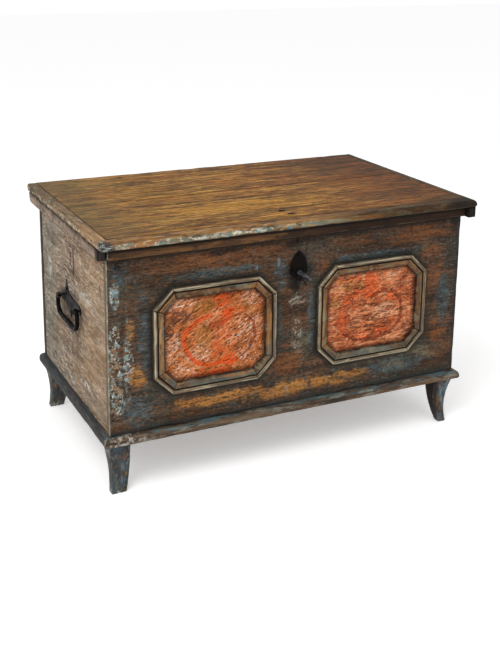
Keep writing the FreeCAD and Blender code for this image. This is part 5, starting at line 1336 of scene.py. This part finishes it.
# %% Base mouldings
base_low, base_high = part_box("base_front_moulding")
mitred_lengths("base_{}_moulding", 61, (base_low.y, base_high.y), base_high.x,
               base_high.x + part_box("base_left_moulding")[1].x, [(0.012, 0.003)] * 3, 0.0075)

# %% [markdown]
# ## The feet
#
# Each foot is sawn from a block along two outlines, one seen from the front and one from the side:
# hollow outside, bulged inside, with a toe that steps forward. A block with broken edges is
# divided into cells, and every point is then pushed to where its height puts it between the two
# outlines. The outlines bend by one arc each, like the saw's path.

# %% One foot from a block
def bow(share, rise, drop):
    """How far an arc of a given rise stands off its chord, at a share of the height from 0 to 1."""
    radius = (drop * drop / 4 + rise * rise) / (2 * abs(rise))
    away = radius * radius - ((share - 0.5) * drop) ** 2
    return math.copysign(math.sqrt(max(0.0, away)) - (radius - abs(rise)), rise)


FOOT_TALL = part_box("front_left_foot")[1].z
TOP_OUT, TOP_IN, TOP_DEEP = 0.507, 0.447, 0.056
TOE_DEEP, TOE_OUT, REAR_TOE_OUT = 0.021, 0.005, -0.027
OUTSIDE_RISE, INSIDE_RISE, TOE_RISE, HEEL_RISE = 0.008, -0.006, 0.011, -0.004


def foot(node, side, end, width, lean, seed):
    """A splayed foot. side is -1 left or +1 right, end is -1 front or +1 back."""
    shape = cube_between((0, 0, 0), (TOP_OUT - TOP_IN, TOP_DEEP, FOOT_TALL))
    break_edges(shape, 0.0030, 3)
    into_cells(shape, 0.0062)
    face = abs(FRONT_Y if end < 0 else BACK_Y)
    toe = face + (TOE_OUT if end < 0 else REAR_TOE_OUT)
    for point in shape.verts:
        across = point.co.x / (TOP_OUT - TOP_IN)
        deep = point.co.y / TOP_DEEP
        share = point.co.z / FOOT_TALL
        low = 1 - share
        outer = TOP_OUT - lean * low - bow(share, OUTSIDE_RISE, math.hypot(FOOT_TALL, lean))
        inner = TOP_IN + (TOP_OUT - lean - width - TOP_IN) * low + bow(share, INSIDE_RISE, FOOT_TALL)
        front = face + (toe - face) * low - bow(share, TOE_RISE, FOOT_TALL)
        heel = (face - TOP_DEEP) + (toe - TOE_DEEP - face + TOP_DEEP) * low + bow(share, HEEL_RISE, FOOT_TALL)
        point.co.x = side * (inner + (outer - inner) * across)
        point.co.y = end * (heel + (front - heel) * deep)
    finish_piece(shape, node, seed, "z", edge_loss=0.0014, chip=0.0040)


foot("front_left_foot", -1, -1, 0.040, 0.006, 71)
foot("rear_left_foot", -1, 1, 0.040, 0.006, 72)
foot("front_right_foot", 1, -1, 0.024, 0.023, 73)
foot("rear_right_foot", 1, 1, 0.024, 0.023, 74)

# %% [markdown]
# ## Forged iron
#
# A smith draws a bar out thinner, bends it round the anvil's horn and leaves a hollow at every
# blow. A bar is made here in the same order: a circle at the first point of its path is extruded
# to the next point, turned to the new direction and scaled to the new thickness, again and again.
# A plate starts as its drawn outline, which is filled, given its thickness and bevelled round the
# rim. Both are then worn like the boards, with round dents instead of grain.

# %% A bar along a path
def circle(shape, middle, run, radius, sides):
    """Adds a ring of points round a direction, and gives its points and edges."""
    place = Matrix.Translation(middle) @ run.to_track_quat("Z", "Y").to_matrix().to_4x4()
    points = bmesh.ops.create_circle(shape, segments=sides, radius=radius, matrix=place)["verts"]
    return points, list({edge for point in points for edge in point.link_edges})


def drawn_rod(shape, path, sides):
    """Adds a closed bar that follows points (x, y, z, radius)."""
    radii = [radius for *_, radius in path]
    path = [Vector(point[:3]) for point in path]
    last = len(path) - 1
    runs = [(path[min(i + 1, last)] - path[max(i - 1, 0)]).normalized() for i in range(len(path))]
    ring, edges = circle(shape, path[0], runs[0], radii[0], sides)
    bmesh.ops.contextual_create(shape, geom=edges)
    for i in range(1, len(path)):
        grown = bmesh.ops.extrude_edge_only(shape, edges=edges)["geom"]
        ring = only(bmesh.types.BMVert, grown)
        edges = [edge for edge in only(bmesh.types.BMEdge, grown)
                 if all(point in ring for point in edge.verts)]
        bmesh.ops.translate(shape, vec=path[i] - path[i - 1], verts=ring)
        bend = runs[i - 1].rotation_difference(runs[i]).to_matrix()
        bmesh.ops.rotate(shape, cent=path[i], matrix=bend, verts=ring)
        share = radii[i] / radii[i - 1]
        bmesh.ops.scale(shape, vec=(share, share, share), space=Matrix.Translation(-path[i]), verts=ring)
    bmesh.ops.contextual_create(shape, geom=edges)


def turned_ring(shape, middle, axis, ring_radius, bar_radius, sides, steps, broad=1.0):
    """Adds a closed ring of bar by spinning a circle a whole turn. broad widens the bar along Y."""
    axis = axis.normalized()
    outward = axis.orthogonal().normalized()
    start = Vector(middle) + outward * ring_radius
    ring, edges = circle(shape, start, axis.cross(outward), bar_radius, sides)
    bmesh.ops.scale(shape, vec=(1, broad, 1), space=Matrix.Translation(-start), verts=ring)
    bmesh.ops.spin(shape, geom=ring + edges, cent=middle, axis=axis, angle=math.tau, steps=steps,
                   use_merge=True)


def forge(shape, node, seed, along, face_wear, edge_loss, chip, dent):
    """Hammers a shape and puts it in place of its solid."""
    finish_piece(shape, node, seed, along, face_wear, edge_loss, chip, 1, dent, "forged")


print("ready to draw bars")

# %% A plate from its outline
def bowed_outline(corners, steps=6):
    """A closed outline, anticlockwise. A corner has its place and the bulge of the side before it."""
    points = []
    for (x0, y0, _), (x1, y1, rise) in zip([corners[-1], *corners[:-1]], corners):
        wide, tall = x1 - x0, y1 - y0
        chord = math.hypot(wide, tall)
        for step in range(1, steps + 1):
            share = step / steps
            off = bow(share, rise, chord)
            points.append((x0 + wide * share + tall / chord * off, y0 + tall * share - wide / chord * off))
    return points


def iron_plate(outlines, origin, across, up, out, thick, rim):
    """A plate with a bevelled front rim. outlines holds its outline and then its holes."""
    shape = bmesh.new()
    edges = []
    for outline in outlines:
        points = [shape.verts.new(Vector(origin) + a * Vector(across) + b * Vector(up)) for a, b in outline]
        edges += [shape.edges.new((points[i - 1], points[i])) for i in range(len(points))]
    bmesh.ops.triangle_fill(shape, use_beauty=True, edges=edges)
    grown = bmesh.ops.extrude_face_region(shape, geom=shape.faces[:])["geom"]
    front = only(bmesh.types.BMVert, grown)
    bmesh.ops.translate(shape, vec=Vector(out) * thick, verts=front)
    bmesh.ops.recalc_face_normals(shape, faces=shape.faces)
    border = [edge for edge in shape.edges if all(point in front for point in edge.verts)
              and edge.calc_face_angle(0) > math.radians(60)]
    bevel(shape, border, rim, 2)
    into_cells(shape, 0.003)
    return shape


print("ready to fill outlines")

# %% [markdown]
# ## The drop handles
#
# On each end a pointed back plate with two lobes takes two eyes, and the bail hangs in them with
# its ends turned inwards. The bar is thickest under the hand. The eyes are short pieces of pierced
# bar on a tang that goes through plate and board.

# %% Handle plates, eyes and bails
bail_low, bail_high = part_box("right_handle_bail")
HANDLE_OUT = (bail_low.x + bail_high.x) / 2
HANDLE_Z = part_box("left_handle_bail")[1].z - 0.0045
PIVOT, TANG_IN, TANG_END, EYE_RADIUS, EYE_BAR = 0.072, 0.018, 0.002, 0.00655, 0.00195
BACK_PLATE = [(0, -0.042, -0.0033), (0.0215, -0.019, -0.0033), (0.072, -0.013, -0.0026),
              (0.072, 0.013, 0.013), (0.054, 0.022, -0.0013), (0.036, 0.052, -0.0039),
              (0.018, 0.022, -0.0039), (-0.072, 0.013, -0.0026), (-0.072, -0.013, 0.013),
              (-0.0215, -0.019, -0.0026)]


def quarter_turn(middle, radius, start, thick, more=0.0, steps=6):
    """A clockwise quarter circle from one angle on, as points (across, up, thickness)."""
    points = []
    for i in range(steps + 1):
        turn = math.radians(start - 90 * i / steps)
        points.append((middle[0] + radius * math.cos(turn), middle[1] + radius * math.sin(turn),
                       thick + more * i / steps))
    return points


HALF_BAIL = [
    (0.0670, 0, 0.0043), (0.0745, 0, 0.0044), (0.0757, -0.0006, 0.0050),
    *quarter_turn((0.0765, -0.0095), 0.0080, 90, 0.0060), (0.0845, -0.015, 0.0060),
    *quarter_turn((0.0560, -0.0215), 0.0285, 0, 0.0060, 0.0010),
    (0.045, -0.050, 0.0071), (0.033, -0.050, 0.0073), (0.021, -0.050, 0.0074), (0.010, -0.050, 0.0075)]
BAIL = HALF_BAIL + [(-across, up, thick) for across, up, thick in reversed(HALF_BAIL)]


def handle(hand, side, seed):
    low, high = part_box(f"{hand}_handle_bail")
    middle_y = (low.y + high.y) / 2
    plate = iron_plate([bowed_outline(BACK_PLATE)], (side * SIDE_X, middle_y, HANDLE_Z), AXES["y"], AXES["z"],
                       (side, 0, 0), 0.003, 0.0011)
    forge(plate, f"{hand}_handle_plate", seed, "y", 0.0002, 0.0003, 0.0008, 0.0009)
    eyes = bmesh.new()
    for y in (middle_y - PIVOT, middle_y + PIVOT):
        turned_ring(eyes, (side * HANDLE_OUT, y, HANDLE_Z), AXES["y"], EYE_RADIUS, EYE_BAR, 10, 24, 1.9)
        drawn_rod(eyes, [(side * (SIDE_X - TANG_IN), y, HANDLE_Z, 0.0022),
                         (side * (SIDE_X - TANG_END), y, HANDLE_Z, 0.0034),
                         (side * (HANDLE_OUT - 0.0065), y, HANDLE_Z, 0.0034)], 10)
    forge(eyes, f"{hand}_handle_eyes", seed + 1, "y", 0.0001, 0.0002, 0.0, 0.0002)
    bail = bmesh.new()
    drawn_rod(bail, [(side * HANDLE_OUT, middle_y + y, HANDLE_Z + z, thick) for y, z, thick in BAIL], 16)
    slice_along(bail, AXES["y"], 0.0035)
    forge(bail, f"{hand}_handle_bail", seed + 2, "y", 0.0001, 0.0002, 0.0, 0.0010)


handle("left", -1, 81)
handle("right", 1, 85)

# %% [markdown]
# ## The key's plate and the key
#
# The plate is a leaf of thin iron with a thinned rim, which catches a line of light, and a keyhole
# cut in it. The key has a ring to turn it by, a shank with a swelling and a collar, and a plain bit,
# which waits beside the bolt inside the lock.

# %% The leaf round the keyhole
KEY_Z = leaf_low.z + 0.023
HOLE_RADIUS = 0.0045
LEAF = [(0, -0.023, 0.002), (0.01375, -0.016, 0.002), (0.025, 0.015, 0.005), (0, 0.060, 0.004),
        (-0.025, 0.015, 0.004), (-0.01375, -0.016, 0.005)]
turns = [math.radians(angle) for angle in range(-55, 236, 29)]
hole = [(HOLE_RADIUS * math.cos(turn), HOLE_RADIUS * math.sin(turn)) for turn in turns]
hole += [(-0.0025, -0.0138), (0.0025, -0.0138)]
leaf = iron_plate([bowed_outline(LEAF), hole], (KEY_X, FRONT_Y, KEY_Z), AXES["x"], AXES["z"], (0, -1, 0),
                  0.0025, 0.0016)
forge(leaf, "escutcheon", 91, "z", 0.0001, 0.0003, 0.0006, 0.0007)

# %% The key
key_low, key_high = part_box("key")
bolt_low, bolt_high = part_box("lock_bolt")
TILT = math.radians(50)
BIT = (0.003, 0.008, 0.0117)
SHANK = [(key_low.y + 0.0245, 0.0032), (-0.3130, 0.0050), (-0.3080, 0.0064), (-0.3030, 0.0052),
         (-0.2990, 0.0048), (-0.2950, 0.0052), (-0.2870, 0.0054), (-0.2860, 0.0068), (-0.2815, 0.0068),
         (-0.2808, 0.0040), (-0.2500, 0.0040), (key_high.y - 0.004, 0.0038), (key_high.y - 0.003, 0.0030),
         (key_high.y, 0.0029)]

key = bmesh.new()
flat_of_ring = Vector((math.cos(TILT), 0, math.sin(TILT)))
turned_ring(key, (KEY_X, key_low.y + 0.0134, KEY_Z), flat_of_ring, 0.0094, 0.0040, 12, 36)
drawn_rod(key, [(KEY_X, y, KEY_Z, thick) for y, thick in SHANK], 14)
bit = bmesh.ops.create_cube(key, size=1)["verts"]
bmesh.ops.scale(key, vec=BIT, verts=bit)
bmesh.ops.translate(key, vec=(0, 0, BIT[2] / 2), verts=bit)
bmesh.ops.rotate(key, matrix=Matrix.Rotation(-TILT, 3, "Y"), verts=bit)
bmesh.ops.translate(key, vec=(KEY_X, (bolt_low.y + bolt_high.y) / 2, KEY_Z), verts=bit)
forge(key, "key", 93, "y", 0.0, 0.0002, 0.0, 0.0003)

# %% [markdown]
# ## Hinges, staple and lock
#
# The strap hinges, the staple and the lock's plate and case already have their whole shape in their
# solids. They only lack the smith's hand: a copy of each solid's loose triangles is merged into one
# skin, its edges are broken, and it is cut into cells and hammered.

# %% Hammer copies of the solids
for seed, node in enumerate(("left_hinge_case_leaf", "right_hinge_case_leaf", "left_hinge_lid_leaf",
                             "right_hinge_lid_leaf", "lid_staple", "lock_plate", "lock_case"), 101):
    shape = bmesh.new()
    shape.from_mesh(frame["nodes"][node].data)
    bmesh.ops.remove_doubles(shape, verts=shape.verts, dist=0.00001)
    break_edges(shape, 0.0005, 1, 50)
    into_cells(shape, 0.004)
    forge(shape, node, seed, "x", 0.0001, 0.0003, 0.0004, 0.0005)
